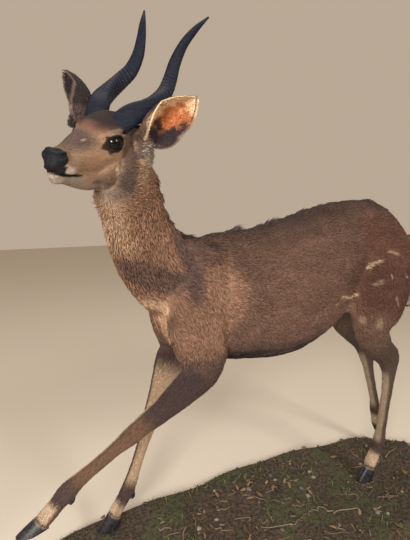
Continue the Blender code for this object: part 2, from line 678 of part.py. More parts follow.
def horn(name, side):
    """A black horn of one open turn: a three-cornered section, keeled, that twists as it sweeps back and up."""
    rows = np.array(HORN)
    rows[6:, :3] = rows[5, :3] + (rows[6:, :3] - rows[5, :3]) * HORN_REACH[side]
    rows[:, 1] *= side
    thing = loft(name, rows, 27, 10, side=(0.0, 1.0, 0.0), lobe=0.09, twist=HORN_TWIST * side, dome=0.9)
    return placed(thing, head_matrix())


def lock(root, lie, out, length, width, thick, lift, rings=3):
    """One flat, tapered lock of hair that leaves the skin along out and bends over to follow lie."""
    across = lie.cross(out).normalized()
    points = []
    for r in range(rings + 1):
        t = r / rings
        rise = lift * math.sin(math.pi * 0.72 * t) - thick * 2.2 * (1 - t) ** 2
        centre = root + lie * (length * t) + out * rise
        wide = width * (1 - t) ** 0.65 * 0.5 + 0.0006
        deep = thick * (1 - t) ** 0.5 * 0.5 + 0.0005
        points += [centre + across * wide, centre + out * deep, centre - across * wide, centre - out * deep]
    return mesh_object("lock", points, ring_faces(rings + 1, 4))


def crest_locks(body, draw):
    """The dark crest down the nape and the back: overlapping locks that lie towards the tail, raised at the withers."""
    surface = BVHTree.FromObject(body, bpy.context.evaluated_depsgraph_get())
    line = carried(CREST, 24)
    run = np.gradient(line, axis=0)
    locks = []
    for place, onward in zip(line, run):
        onward = Vector(onward).normalized()
        out = onward.cross(Vector((0, 1, 0))).normalized()
        raised = math.exp(-(((place[0] + 0.085) / 0.030) ** 2))
        for side in (-1, 1):
            aside = Vector((0, side * draw.uniform(0.004, 0.008), 0))
            root = surface.ray_cast(Vector(place) + aside + out * 0.3, -out)[0] - out * 0.003
            length = draw.uniform(0.044, 0.060)
            ahead = Vector(place) + onward * length + aside * draw.uniform(1.0, 2.2)
            tip = surface.ray_cast(ahead + out * 0.3, -out)[0] or ahead
            locks.append(lock(root, (tip - root).normalized(), out, length, 0.021, 0.0065,
                              draw.uniform(0.006, 0.009) + 0.013 * raised))
    return locks


def tail_locks(draw):
    """The brush of the tail: locks all round it that hang and taper past its end."""
    line = carried(TAIL, 9)
    run = np.gradient(line[:, :3], axis=0)
    locks = []
    for number in range(5, 9):
        onward = Vector(run[number]).normalized()
        for turn in (0.4, 2.5, 4.6):
            angle = turn + number * 1.1
            out = Vector((0, 1, 0)) * math.sin(angle) + onward.cross(Vector((0, 1, 0))) * math.cos(angle)
            root = Vector(line[number, :3]) + out * (line[number, 4] * 0.75)
            locks.append(lock(root, (onward + out * 0.08).normalized(), out, draw.uniform(0.044, 0.060), 0.023, 0.0075,
                              0.006))
    return locks


def union_of(thing, pieces):
    """One union joins the pieces to the object that carries them, and the pieces are then removed."""
    group = bpy.data.collections.new(thing.name + "_pieces")
    bpy.context.scene.collection.children.link(group)
    for piece in pieces:
        bpy.context.scene.collection.objects.unlink(piece)
        group.objects.link(piece)
    boolean = thing.modifiers.new("locks", "BOOLEAN")
    boolean.operation = "UNION"
    boolean.operand_type = "COLLECTION"
    boolean.collection = group
    boolean.solver = "MANIFOLD"
    settle(thing)
    for piece in pieces:
        drop(piece)
    bpy.data.collections.remove(group)
    work = bmesh.new()
    work.from_mesh(thing.data)
    bmesh.ops.triangulate(work, faces=work.faces)
    work.to_mesh(thing.data)
    work.free()
    return largest_only(thing)


def hoof(name, foot, side):
    """One digit of a cloven hoof: a pointed half oval, flat along the cleft, that widens from coronet to sole."""
    coronet, down, sole, toe = (Vector(part) for part in foot)
    down.normalize()
    toe.normalize()
    across = Vector((0, 1, 0))
    forward = across.cross(down)
    if forward.dot(toe) < 0:
        forward = -forward
    around, cleft = 14, 0.0009
    rings = []
    for centre, ahead, long_half, wide in ((coronet + down * GAP, forward, 0.0180, 0.0170), (sole, toe, 0.0290, 0.0175)):
        ring = []
        for k in range(around):
            angle = math.pi * (k + 0.5) / around
            reach = math.cos(angle)
            pointed = abs(math.sin(angle)) ** 0.8 * (1 - 0.28 * max(reach, 0.0))
            ring.append(centre + ahead * (long_half * reach) + across * (side * (cleft + wide * pointed)))
        rings.append(ring)
    points = []
    for share in (0.0, 0.12, 0.45, 0.80, 1.0):
        swell = 1 + 0.05 * math.sin(math.pi * share)
        middle = (coronet + across * side * 0.008).lerp(sole + across * side * 0.008, share)
        for high, low in zip(*rings):
            point = high.lerp(low, share)
            swollen = middle + (point - middle) * swell
            swollen.y = point.y
            points.append(swollen)
    return mesh_object(name, points, ring_faces(5, around))


def dewclaws(fetlock, down):
    """The two small false hooves behind a fetlock."""
    back = Vector((-down.z, 0, down.x))
    claws = []
    for side in (1, -1):
        aside = Vector((0, side, 0))
        rows = []
        for behind, below, out, thick in ((0.010, -0.008, 0.0080, 0.0060), (0.018, 0.000, 0.0095, 0.0062),
                                          (0.021, 0.010, 0.0105, 0.0035)):
            rows.append((*(fetlock + back * behind + down * below + aside * out), thick, thick))
        claws.append(loft("dewclaw", rows, 4, 6))
    return claws


def ground():
    """The modelled ground: a low mound of irregular outline, level where a foot stands, flat underneath."""
    rings, around = 9, 42
    centre = Vector((0.055, -0.075))
    half_long, half_wide = 0.715, 0.235
    pads = [(-0.400, 0.069), (0.388, -0.088), (0.630, 0.072)]
    points = []
    for r in range(rings + 1):
        share = (r / rings) ** 0.8
        for k in range(around):
            angle = 2 * math.pi * k / around
            ragged = 1 + 0.030 * math.sin(5 * angle + 1.1) + 0.022 * math.sin(9 * angle + 0.4) \
                + 0.012 * math.sin(17 * angle)
            squared = 1 / (abs(math.cos(angle)) ** 3.2 + abs(math.sin(angle)) ** 3.2) ** (1 / 3.2)
            x = centre.x + half_long * share * squared * ragged * math.cos(angle)
            y = centre.y + half_wide * share * squared * ragged * math.sin(angle)
            swell = 0.006 * math.sin(9 * x + 2) * math.cos(14 * y) + 0.004 * math.sin(23 * x + 11 * y)
            edge = max(0.0, (share - 0.86) / 0.14)
            z = BASE_TOP + swell * (1 - edge) - (BASE_TOP - 0.012) * edge ** 1.6
            if edge < 0.999:
                for pad_x, pad_y in pads:
                    near = math.hypot(x - pad_x, (y - pad_y)) / 0.085
                    level = min(1.0, max(0.0, (near - 0.75) / 0.5))
                    z = BASE_TOP + (z - BASE_TOP) * level
            points.append((x, y, z))
    rim = len(points) - around
    points += [(points[rim + k][0], points[rim + k][1], 0.0) for k in range(around)]
    faces = ring_faces(rings + 2, around)[:-2]
    faces.append(tuple(range(around)))
    faces.append(tuple(range(len(points) - around, len(points))))
    return mesh_object("base_ground", points, faces)


def main():
    clear_scene()
    hide = material("hide", HIDE, 0.85)
    pale = material("pale_hide", PALE_HIDE, 0.85)
    dark = material("dark_hide", DARK_HIDE, 0.85)
    ear_skin = material("ear_skin", EAR_SKIN, 0.8)
    horn_black = material("horn", HORN_BLACK, 0.45)
    hoof_black = material("hoof", HOOF_BLACK, 0.35)
    glass_eye = material("glass_eye", EYE_BLACK, 0.05)
    soil = material("ground", GROUND, 0.95)
    nodes = []

    def keep(thing, name, finish):
        thing.name = thing.data.name = name
        thing.data.materials.clear()
        thing.data.materials.append(finish)
        thing.data.shade_smooth()
        thing.data.set_sharp_from_angle(angle=math.radians(50))
        nodes.append(thing)
        return thing

    place = head_matrix()
    heads = [placed(piece, place) for piece in head_pieces()]
    spare = [copy_of(piece, "head_form") for piece in heads]
    neck_root = loft("neck_root", NECK[:5], 16, side_end=(-0.1, 1.0, 0.05), side=(-0.55, 0.80, 0.25))
    head = fused("head", heads + [neck_root], HEAD_VOXEL, 7, HEAD_TRIANGLES)
    body = fused("body", legs_and_trunk() + spare, BODY_VOXEL, 6, BODY_TRIANGLES)
    draw = np.random.default_rng(HAIR_SEED)
    union_of(body, crest_locks(body, draw) + tail_locks(draw))

    throat, towards_nose = throat_cut()
    drop(part_by_plane(body, "head_coarse", throat, towards_nose, 0.5))
    below = half_space("below", throat, towards_nose, GAP / 2, 0.5)
    cut(head, "INTERSECT", below)
    drop(below)

    neck = part_by_plane(body, "neck", (-0.268, 0.0, 0.742), (-0.50, 0.0, 0.62), 0.8)
    tail = part_off(body, "tail", prism("region", TAIL_OUTLINE, -0.046, 0.046, 0.0, soft=False),
                    prism("wider", TAIL_OUTLINE, -0.046, 0.046, GAP, soft=False))

    for number, (side, outline, name) in enumerate((
            (-1, SHOULDER_OUTLINE, "foreleg_left"), (1, SHOULDER_OUTLINE_RIGHT, "foreleg_right"),
            (-1, HAUNCH_OUTLINE, "hindleg_left"), (1, HAUNCH_OUTLINE_RIGHT, "hindleg_right"))):
        inside = SHOULDER_INSIDE if number < 2 else HAUNCH_INSIDE
        region = prism("region", outline, side * inside, side * 0.4, 0.0)
        wider = prism("wider", outline, side * inside, side * 0.4, GAP)
        leg = part_off(body, name, region, wider)
        rows = (FORELEG_LEFT, FORELEG_RIGHT, HINDLEG_LEFT, HINDLEG_RIGHT)[number]
        knee_at, fetlock_at = Vector(rows[5][:3]), Vector(rows[9][:3])
        shank = part_by_plane(leg, name + "_cannon", knee_at, fetlock_at - knee_at, 0.6)
        foot = part_by_plane(shank, name + "_pastern", fetlock_at + (knee_at - fetlock_at) * 0.10,
                             fetlock_at - knee_at, 0.4)
        keep(leg, name, hide)
        keep(shank, name + "_cannon", hide)
        coronet, down = Vector(FEET[name][0]), Vector(FEET[name][1]).normalized()
        lower = half_space("lower", coronet, down, 0.0, 0.3)
        cut(foot, "DIFFERENCE", lower)
        drop(lower)
        pastern_down = (Vector(rows[10][:3]) - Vector(rows[9][:3])).normalized()
        keep(union_of(foot, dewclaws(Vector(rows[9][:3]), pastern_down)), name + "_pastern", pale)
        for digit, digit_name in ((1, "hoof_right"), (-1, "hoof_left")):
            keep(hoof("digit", FEET[name], digit), f"{name}_{digit_name}", hoof_black)

    keep(neck, "neck", hide)
    keep(tail, "tail", dark)
    keep(body, "torso", hide)

    for side, name in ((1, "left"), (-1, "right")):
        centre = place @ eye_seat(side)
        slit = ball("slit", eye_seat(side, 0.0165), (0.0160, 0.0120, 0.0112), eye_turn(side), 20)
        cut(head, "DIFFERENCE", placed(slit, place))
        drop(slit)
        socket = ball("socket", centre, (EYE_RADIUS + GAP * 2,) * 3, None, 20)
        cut(head, "DIFFERENCE", socket)
        drop(socket)
        keep(ball("eye", centre, (EYE_RADIUS,) * 3, None, 14), "eye_" + name, glass_eye)
        nostril = ball("nostril", (0.1250, side * 0.0170, -0.0120), (0.0100, 0.0042, 0.0044),
                       Matrix.Rotation(math.radians(-30 * side), 4, "Z"), 10)
        cut(head, "DIFFERENCE", placed(nostril, place))
        drop(nostril)
    lips = prism("lips", [(0.070, -0.0506), (0.100, -0.0436), (0.122, -0.0382), (0.160, -0.0340), (0.160, -0.0324),
                          (0.122, -0.0368), (0.100, -0.0424), (0.070, -0.0496)], -0.05, 0.05, 0.0, soft=False)
    cut(head, "DIFFERENCE", placed(lips, place))
    drop(lips)

    shell = grown(head, GAP * 1.3)
    for side, name in ((1, "left"), (-1, "right")):
        tusk = keep(cut(horn("horn", side), "DIFFERENCE", shell), "horn_" + name, horn_black)
        clear = grown(tusk, GAP * 1.5)
        leaf = cut(ear("ear", side), "DIFFERENCE", shell)
        keep(cut(leaf, "DIFFERENCE", clear), "ear_" + name, ear_skin)
        drop(clear)
    drop(shell)
    keep(head, "head", hide)
    keep(ground(), "base_ground", soil)

    mount = bpy.data.objects.new("animal", None)
    bpy.context.scene.collection.objects.link(mount)
    mount.location = (0.0, 0.0, BASE_TOP)
    for thing in nodes:
        if not thing.name.startswith("base_"):
            thing.parent = mount


main()
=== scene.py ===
"""The look of a mounted bushbuck ram: horns, glass eyes, hooves, hide and coat, on a base of modelled ground.

The ram faces -X, its left side is at -Y and the floor is z = 0. Sizes are metres.
"""

import math
from functools import partial

import bmesh
import bpy
import numpy as np
from mathutils import Matrix, Vector


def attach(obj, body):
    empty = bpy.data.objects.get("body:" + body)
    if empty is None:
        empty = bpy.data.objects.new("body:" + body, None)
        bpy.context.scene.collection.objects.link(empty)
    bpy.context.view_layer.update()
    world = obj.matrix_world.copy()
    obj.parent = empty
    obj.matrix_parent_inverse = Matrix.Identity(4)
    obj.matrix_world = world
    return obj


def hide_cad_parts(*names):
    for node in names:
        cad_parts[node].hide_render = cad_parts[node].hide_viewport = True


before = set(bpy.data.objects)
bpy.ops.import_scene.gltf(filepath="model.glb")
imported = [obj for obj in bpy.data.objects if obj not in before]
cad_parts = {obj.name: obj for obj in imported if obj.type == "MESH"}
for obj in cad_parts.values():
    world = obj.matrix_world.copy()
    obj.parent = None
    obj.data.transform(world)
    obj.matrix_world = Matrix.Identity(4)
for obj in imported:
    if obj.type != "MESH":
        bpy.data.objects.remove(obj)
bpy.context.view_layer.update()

# Horns
# Blue-black horn over a bony core: keeled, three-cornered in section, twisting through one open turn, with low
# rings over its lower half and a smooth worn tip. The head is turned to the ram's left and tilted, so its
# pieces are given forward, left and up of the point between the eyes.

BASE_TOP = 0.045
HEAD_ORIGIN = np.array([-0.460, -0.140, 0.998 + BASE_TOP])
HEAD_YAW, HEAD_PITCH, HEAD_ROLL = np.radians([43.7, 14.8, 14.7])


def unit(v):
    """Vectors divided by their own lengths."""
    return v / np.maximum(np.linalg.norm(v, axis=-1, keepdims=True), 1e-9)


def dot(a, b):
    """Scalar products of two rows of vectors."""
    return (a * b).sum(-1)


def step(a, b, x):
    """0 below a, 1 above b and a smooth rise between; falls instead where a is above b."""
    t = np.clip((x - a) / (b - a), 0.0, 1.0)
    return t * t * (3 - 2 * t)


def head_axes():
    """Forward, left and up of the head as the columns of a matrix."""
    forward = np.array([-math.cos(HEAD_YAW) * math.cos(HEAD_PITCH), -math.sin(HEAD_YAW) * math.cos(HEAD_PITCH),
                        -math.sin(HEAD_PITCH)])
    level = unit(np.cross([0, 0, 1], forward))
    left = level * math.cos(HEAD_ROLL) - np.cross(forward, level) * math.sin(HEAD_ROLL)
    return np.stack([forward, left, np.cross(forward, left)], 1)


HEAD_AXES = head_axes()


def from_head(p):
    """Places on the mount, from forward, left and up of the point between the eyes."""
    return np.asarray(p) @ HEAD_AXES.T + HEAD_ORIGIN


def make(name, points, faces, slot=None):
    """A mesh object from an array of points and an array of faces that all have the same number of corners."""
    faces = np.ascontiguousarray(faces, np.int32)
    mesh = bpy.data.meshes.new(name)
    mesh.vertices.add(len(points))
    mesh.vertices.foreach_set("co", np.ascontiguousarray(points, np.float32).ravel())
    mesh.loops.add(faces.size)
    mesh.loops.foreach_set("vertex_index", faces.ravel())
    mesh.polygons.add(len(faces))
    mesh.polygons.foreach_set("loop_start", np.arange(0, faces.size, faces.shape[1], dtype=np.int32))
    mesh.update(calc_edges=True)
    mesh.shade_smooth()
    thing = bpy.data.objects.new(name, mesh)
    bpy.context.scene.collection.objects.link(thing)
    if slot:
        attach(thing, "root")
    return thing


def tidy(thing):
    """Merges doubled points, which closes seams and poles, and turns the faces outwards."""
    work = bmesh.new()
    work.from_mesh(thing.data)
    bmesh.ops.remove_doubles(work, verts=work.verts, dist=2e-6)
    bmesh.ops.recalc_face_normals(work, faces=work.faces)
    work.to_mesh(thing.data)
    work.free()
    return thing


def grid(rows, columns):
    """The quads between neighbouring rows of a grid of points, closed round the columns."""
    index = np.arange(rows * columns).reshape(rows, columns)
    index = np.concatenate([index, index[:, :1]], 1)
    return np.stack([index[:-1, :-1], index[:-1, 1:], index[1:, 1:], index[1:, :-1]], -1).reshape(-1, 4)


def attribute(thing, name, values, kind):
    """Stores a colour or a number on each point of a mesh, for its material to read."""
    layer = thing.data.attributes.new(name, kind, "POINT")
    values = np.asarray(values, np.float32)
    if kind == "FLOAT_COLOR":
        values = np.concatenate([values, np.ones((len(values), 1), np.float32)], 1)
        layer.data.foreach_set("color", values.ravel())
    else:
        layer.data.foreach_set("value", values.ravel())


def smooth_rows(rows, count):
    """Rows of numbers on a smooth curve: cubic Hermite through them, spaced evenly along their first three."""
    rows = np.asarray(rows, float)
    along = np.concatenate([[0.0], np.cumsum(np.linalg.norm(np.diff(rows[:, :3], axis=0), axis=1))])
    slope = np.gradient(rows, along, axis=0)
    t = np.linspace(0.0, along[-1], count)
    i = np.clip(np.searchsorted(along, t, side="right") - 1, 0, len(rows) - 2)
    h = (along[i + 1] - along[i])[:, None]
    u = (t - along[i])[:, None] / h
    start = (1 + 2 * u) * (1 - u) ** 2 * rows[i] + u * (1 - u) ** 2 * h * slope[i]
    return start + u * u * (3 - 2 * u) * rows[i + 1] + u * u * (u - 1) * h * slope[i + 1]


DOME = np.radians([30, 60, 80, 90])


def tube(rows, rings, around, side=(0, 1, 0), shape=None, dome=0.8):
    """A limb or a horn: sections square to a smooth path of x, y, z, half width, half depth, with domed ends.

    shape gives the section's reach as a function of the angle and the share along the path.
    """
    path = smooth_rows(rows, rings)
    centre = path[:, :3]
    along = unit(np.gradient(centre, axis=0))
    side = np.asarray(side, float)
    aside = unit(side - dot(along, side)[:, None] * along)
    up = np.cross(along, aside)
    angle = np.arange(around) * 2 * math.pi / around
    share = np.linspace(0, 1, rings)[:, None]
    reach = shape(angle[None, :], share) if shape else np.ones((rings, around))
    section = aside[:, None] * (path[:, 3:4] * np.cos(angle) * reach)[..., None] \
        + up[:, None] * (path[:, 4:5] * np.sin(angle) * reach)[..., None]
    ends = []
    for end, sign in ((0, -1.0), (-1, 1.0)):
        out = along[end] * sign * dome * path[end, 3:5].min()
        ends.append([centre[end] + section[end] * math.cos(a) + out * math.sin(a) for a in DOME])
    points = np.concatenate([ends[0][::-1], centre[:, None] + section, ends[1]])
    return points.reshape(-1, 3), grid(rings + 2 * len(DOME), around)


def add_node(tree, kind, settings, inputs, output=0):
    """One shader node: its settings first, then the values or links of its sockets, by name or by number."""
    made = tree.nodes.new("ShaderNode" + kind)
    for key, value in settings.items():
        setattr(made, key, value)
    for key, value in inputs.items():
        put(tree, made.inputs[key], value)
    return Value(tree, made.outputs[output])


def put(tree, socket, value):
    """Links a socket to another, or sets its own value."""
    if isinstance(value, Value):
        tree.links.new(value.socket, socket)
    elif value is not None:
        socket.default_value = value


class Value:
    """A shader socket that can be used in Python sums; the operators add Math nodes."""

    def __init__(self, tree, socket):
        self.tree, self.socket = tree, socket

    def math(self, operation, *others):
        return add_node(self.tree, "Math", {"operation": operation}, dict(enumerate((self, *others))))

    def __add__(self, other):
        return self.math("ADD", other)

    def __mul__(self, other):
        return self.math("MULTIPLY", other)

    def __rsub__(self, other):
        return (self * -1.0) + other

    __radd__, __rmul__ = __add__, __mul__

    def ramp(self, low, high):
        """A smooth rise from 0 at low to 1 at high."""
        return add_node(self.tree, "MapRange", {"interpolation_type": "SMOOTHSTEP"}, {0: self, 1: low, 2: high})


class Paint:
    """One Principled material and the nodes that feed it; patterns lie on the object's own coordinates."""

    def __init__(self, name, roughness=0.8, **constants):
        self.made = bpy.data.materials.new(name)
        self.made.use_nodes = True
        self.tree = self.made.node_tree
        self.shader = self.tree.nodes["Principled BSDF"]
        self.shader.inputs["Roughness"].default_value = roughness
        for key, value in constants.items():
            self.shader.inputs[key.replace("_", " ")].default_value = value

    def node(self, kind, settings=None, output=0, **inputs):
        """Any node that has no method of its own."""
        inputs = {key.replace("_", " "): value for key, value in inputs.items()}
        return add_node(self.tree, kind, settings or {}, inputs, output)

    def place(self):
        return self.node("TexCoord", output="Object")

    def stored(self, name, output="Color"):
        """What attribute() stored on the mesh under this name."""
        return self.node("Attribute", {"attribute_name": name}, output)

    def noise(self, scale, detail=3.0, stretch=None):
        """Noise of so many waves to the metre, finer along an axis where its stretch is larger."""
        where = self.place()
        if stretch:
            where = self.node("Mapping", Vector=where, Scale=stretch)
        return self.node("TexNoise", Vector=where, Scale=scale, Detail=detail)

    def colour(self, a, b, share):
        """Two colours mixed by a share."""
        a, b = (value if isinstance(value, Value) else (*value, 1.0) for value in (a, b))
        return add_node(self.tree, "Mix", {"data_type": "RGBA"}, {0: share, 6: a, 7: b}, 2)

    def scaled(self, colour, by):
        """A colour made lighter or darker by a factor."""
        return add_node(self.tree, "VectorMath", {"operation": "SCALE"}, {0: colour, "Scale": by})

    def finish(self, colour, roughness=None, bump=None, strength=0.3, distance=0.001):
        """Feeds the shader its colour, its roughness and a relief of the given height."""
        colour = colour if isinstance(colour, Value) else (*colour, 1.0)
        put(self.tree, self.shader.inputs["Base Color"], colour)
        put(self.tree, self.shader.inputs["Roughness"], roughness)
        if bump is not None:
            relief = self.node("Bump", Height=bump, Strength=strength, Distance=distance)
            put(self.tree, self.shader.inputs["Normal"], relief)
        return self.made


SIDES = ((1, "left"), (-1, "right"))

# Forward, left, up, half width and half depth of a horn's sections, from its base to its tip.
HORN = [
    (-0.035, 0.024, 0.020, 0.0198, 0.0203),
    (-0.059, 0.032, 0.036, 0.0198, 0.0200),
    (-0.096, 0.046, 0.048, 0.0188, 0.0193),
    (-0.134, 0.0525, 0.061, 0.0170, 0.0179),
    (-0.172, 0.0525, 0.075, 0.0154, 0.0163),
    (-0.205, 0.0455, 0.096, 0.0140, 0.0149),
    (-0.228, 0.0415, 0.128, 0.0120, 0.0130),
    (-0.248, 0.0465, 0.163, 0.0096, 0.0103),
    (-0.272, 0.0585, 0.193, 0.0068, 0.0072),
    (-0.301, 0.0725, 0.219, 0.0020, 0.0020),
]

HORN_BEND = 5
HORN_REACH = {"left": 1.03, "right": 0.93}
HORN_RINGS = 30


def horn_beat(angle, share):
    """The swell and dip of the rings up a horn, each ring a little lower at the back."""
    return np.sin(2 * math.pi * (share * HORN_RINGS + 0.25 * np.cos(angle)))


def horn_section(side, angle, share):
    """Reach of a horn's section: a three-cornered keel that twists, the rings, and fine ridges along it."""
    twist = math.radians(200) * side * share
    keel = 0.09 * np.cos(3 * (angle - twist)) + 0.035 * np.maximum(np.cos(angle - twist), 0) ** 8
    beat = horn_beat(angle, share)
    ring = 0.010 * beat * step(0.10, 0.22, share) * step(0.62, 0.50, share)
    ring = ring + 0.016 * np.maximum(beat, 0) * step(0.34, 0.40, share) * step(0.56, 0.50, share)
    ridge = 0.010 * np.sin(9 * angle + 4 * np.sin(14 * share)) * step(0.75, 0.3, share)
    return 1 + keel + ring + ridge


def horn_paint():
    """Blue-black horn with a grain across it, greyer where its rings are worn."""
    paint = Paint("horn", Specular_IOR_Level=0.14)
    grain = paint.noise(70.0, 6.0, (1.0, 1.0, 6.0))
    fine = paint.noise(420.0, 5.0)
    worn = paint.stored("worn", "Fac")
    colour = paint.colour((0.0060, 0.0075, 0.0160), (0.020, 0.0235, 0.0400),
                          (grain * 0.55 + fine * 0.25).ramp(0.30, 0.70))
    colour = paint.colour(colour, (0.052, 0.052, 0.060), worn * fine.ramp(0.35, 0.75))
    relief = grain * 0.6 + fine * 0.4
    return paint.finish(colour, 0.52 + fine * 0.22, bump=relief, strength=0.5, distance=0.0012)


def build_horns():
    """Both horns: the same rows mirrored, each stretched a little above its bend as in the photo."""
    paint = horn_paint()
    rings, around = 220, 40
    for side, name in SIDES:
        rows = np.array(HORN)
        bend = rows[HORN_BEND, :3]
        rows[HORN_BEND + 1:, :3] = bend + (rows[HORN_BEND + 1:, :3] - bend) * HORN_REACH[name]
        rows[:, 1] *= side
        p, f = tube(rows, rings, around, (0, 1, 0), partial(horn_section, side), 0.9)
        horn = make(f"horn_{name}_keratin", from_head(p), f, "horn")
        share = np.clip((np.arange(rings + 2 * len(DOME)) - len(DOME)) / (rings - 1), 0, 1).repeat(around)
        beat = horn_beat(np.tile(np.arange(around) * 2 * math.pi / around, rings + 2 * len(DOME)), share)
        worn = np.maximum(beat, 0) ** 2 * step(0.25, 0.36, share) * step(0.62, 0.5, share)
        attribute(horn, "worn", np.maximum(worn, 0.4 * step(0.9, 1.0, share)), "FLOAT")
        tidy(horn)
        horn.data.materials.append(paint)
        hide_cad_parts(f"horn_{name}")


build_horns()

# Glass eyes
# Dark glass domes seated in the form before the hide goes on, with a brown iris, a level pupil and a slight
# bulge over it.

EYE_RADIUS = 0.0165
EYE_SEAT = (-0.0060, 0.0325, -0.0030)
EYE_LOOKS = (0.50, 0.86, 0.08)
EYE_TILT = math.radians(-7)


def eye_frame(side):
    """Middle of an eyeball, and its axes as columns: along the slit, the way it looks, and up."""
    looks = unit(np.array([EYE_LOOKS[0], EYE_LOOKS[1] * side, EYE_LOOKS[2]]))
    along = unit(np.cross(looks, [0, 0, 1])) * side
    up = np.cross(along, looks) * side
    c, s = math.cos(EYE_TILT), math.sin(EYE_TILT)
    along, up = along * c + up * s, up * c - along * s
    return np.array([EYE_SEAT[0], EYE_SEAT[1] * side, EYE_SEAT[2]]), np.stack([along, looks, up], 1)


def ball(centre, radii, turn=None, columns=32):
    """An ellipsoid turned about its centre by a 3 by 3 matrix."""
    v = np.linspace(0, math.pi, columns // 2 + 1)[:, None]
    u = np.arange(columns)[None, :] * 2 * math.pi / columns
    points = np.stack([np.sin(v) * np.cos(u), np.sin(v) * np.sin(u), np.cos(v) + 0 * u], -1) * np.asarray(radii)
    points = points.reshape(-1, 3)
    if turn is not None:
        points = points @ np.asarray(turn).T
    return points + np.asarray(centre), grid(columns // 2 + 1, columns)


def build_eyes():
    """Both eyes: a ball with its pole on the way it looks, raised by a bell curve over the pupil."""
    paint = Paint("glass_eye", roughness=0.05, Specular_IOR_Level=0.20)
    paint.finish(paint.colour((0.006, 0.004, 0.003), (0.001, 0.001, 0.002), paint.stored("iris", "Fac")))
    for side, name in SIDES:
        seat, axes = eye_frame(side)
        p, f = ball((0, 0, 0), (1, 1, 1), columns=64)
        p = p[:, [0, 2, 1]]
        a, b = np.arctan2(p[:, 0], p[:, 1]), np.arctan2(p[:, 2], p[:, 1])
        theta = np.arccos(np.clip(p[:, 1], -1, 1))
        points = seat + (p * (EYE_RADIUS * (1 + 0.05 * np.exp(-((theta / 0.55) ** 2))))[:, None]) @ axes.T
        eye = make(f"eye_{name}_glass", from_head(points), f, "glass_eye")
        pupil = step(1.15, 0.85, np.hypot(a / 0.62, b / 0.30))
        attribute(eye, "iris", np.maximum(pupil, step(0.95, 1.15, theta)), "FLOAT")
        tidy(eye)
        eye.data.materials.append(paint.made)
        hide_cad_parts(f"eye_{name}")


build_eyes()

# Hooves and dewclaws
# Cloven hooves of polished black horn, paler at the coronet, on the rods that hold the mount to its base, and a
# pair of small false hooves behind each fetlock.

SOLE_GAP = 0.0003
# Each foot: its coronet, the way down, its sole and the way its toe points.
FEET = {
    "foreleg_left": ((-0.5815, -0.095, 0.2165), (-0.69, 0, -0.72),
                     (-0.6085, -0.095, 0.1995), (-0.99, 0, -0.14)),
    "foreleg_right": ((-0.3830, 0.069, 0.0400), (-0.51, 0, -0.86), (-0.4010, 0.069, SOLE_GAP), (-1, 0, 0)),
    "hindleg_left": ((0.4040, -0.088, 0.0420), (-0.42, 0, -0.91), (0.3860, -0.088, SOLE_GAP), (-1, 0, 0)),
    "hindleg_right": ((0.6145, 0.072, 0.0640), (0.25, 0, -0.97), (0.6330, 0.072, 0.0312), (0.04, 0, -1)),
}
# Half length and width of a hoof half at both ends, and the dewclaw's rows.
CORONET_HALF, SOLE_HALF = (0.0178, 0.0168), (0.0288, 0.0173)
DEWCLAW = [(0.008, -0.006, 0.0080, 0.0050), (0.0165, 0.001, 0.0095, 0.0058), (0.0195, 0.008, 0.0102, 0.0042),
           (0.0205, 0.012, 0.0105, 0.0016)]
ACROSS = np.array([0.0, 1.0, 0.0])

# Lines through the middle of the body's parts, each with the reach of the flesh round it. The dewclaws stand on
# the legs' lines, and the markings and the hair follow them all.
BONES = {
    "head": ([from_head((0.120, 0, -0.025)), from_head((0.050, 0, -0.030)),
              from_head((-0.070, 0, -0.030))], 0.045),
    "neck": ([(-0.402, -0.096, 1.000), (-0.388, -0.079, 0.969), (-0.368, -0.060, 0.911),
              (-0.346, -0.040, 0.855), (-0.312, -0.018, 0.805), (-0.250, -0.004, 0.745)], 0.070),
    "trunk": ([(-0.215, 0, 0.690), (-0.040, 0, 0.680), (0.150, 0, 0.705), (0.320, 0, 0.770), (0.450, 0, 0.785),
               (0.560, 0, 0.790)], 0.130),
    "tail": ([(0.590, 0, 0.808), (0.614, 0, 0.781), (0.635, 0, 0.722), (0.642, 0, 0.618)], 0.020),
    "foreleg_left": ([(-0.185, -0.075, 0.720), (-0.212, -0.088, 0.600), (-0.208, -0.091, 0.532),
                      (-0.315, -0.096, 0.453), (-0.384, -0.094, 0.409), (-0.532, -0.095, 0.313),
                      (-0.590, -0.095, 0.250)], 0.036),
    "foreleg_right": ([(-0.185, 0.075, 0.720), (-0.205, 0.085, 0.600), (-0.212, 0.083, 0.507),
                       (-0.260, 0.078, 0.385), (-0.286, 0.073, 0.315), (-0.349, 0.067, 0.145),
                       (-0.395, 0.069, 0.070)], 0.036),
    "hindleg_left": ([(0.400, -0.085, 0.745), (0.376, -0.092, 0.635), (0.345, -0.098, 0.560),
                      (0.396, -0.097, 0.487), (0.444, -0.092, 0.423), (0.449, -0.090, 0.335),
                      (0.440, -0.088, 0.175), (0.400, -0.088, 0.080)], 0.045),
    "hindleg_right": ([(0.440, 0.085, 0.740), (0.430, 0.088, 0.630), (0.414, 0.092, 0.560),
                       (0.480, 0.088, 0.470), (0.534, 0.084, 0.395), (0.565, 0.080, 0.303),
                       (0.606, 0.074, 0.157), (0.618, 0.072, 0.090)], 0.045),
}


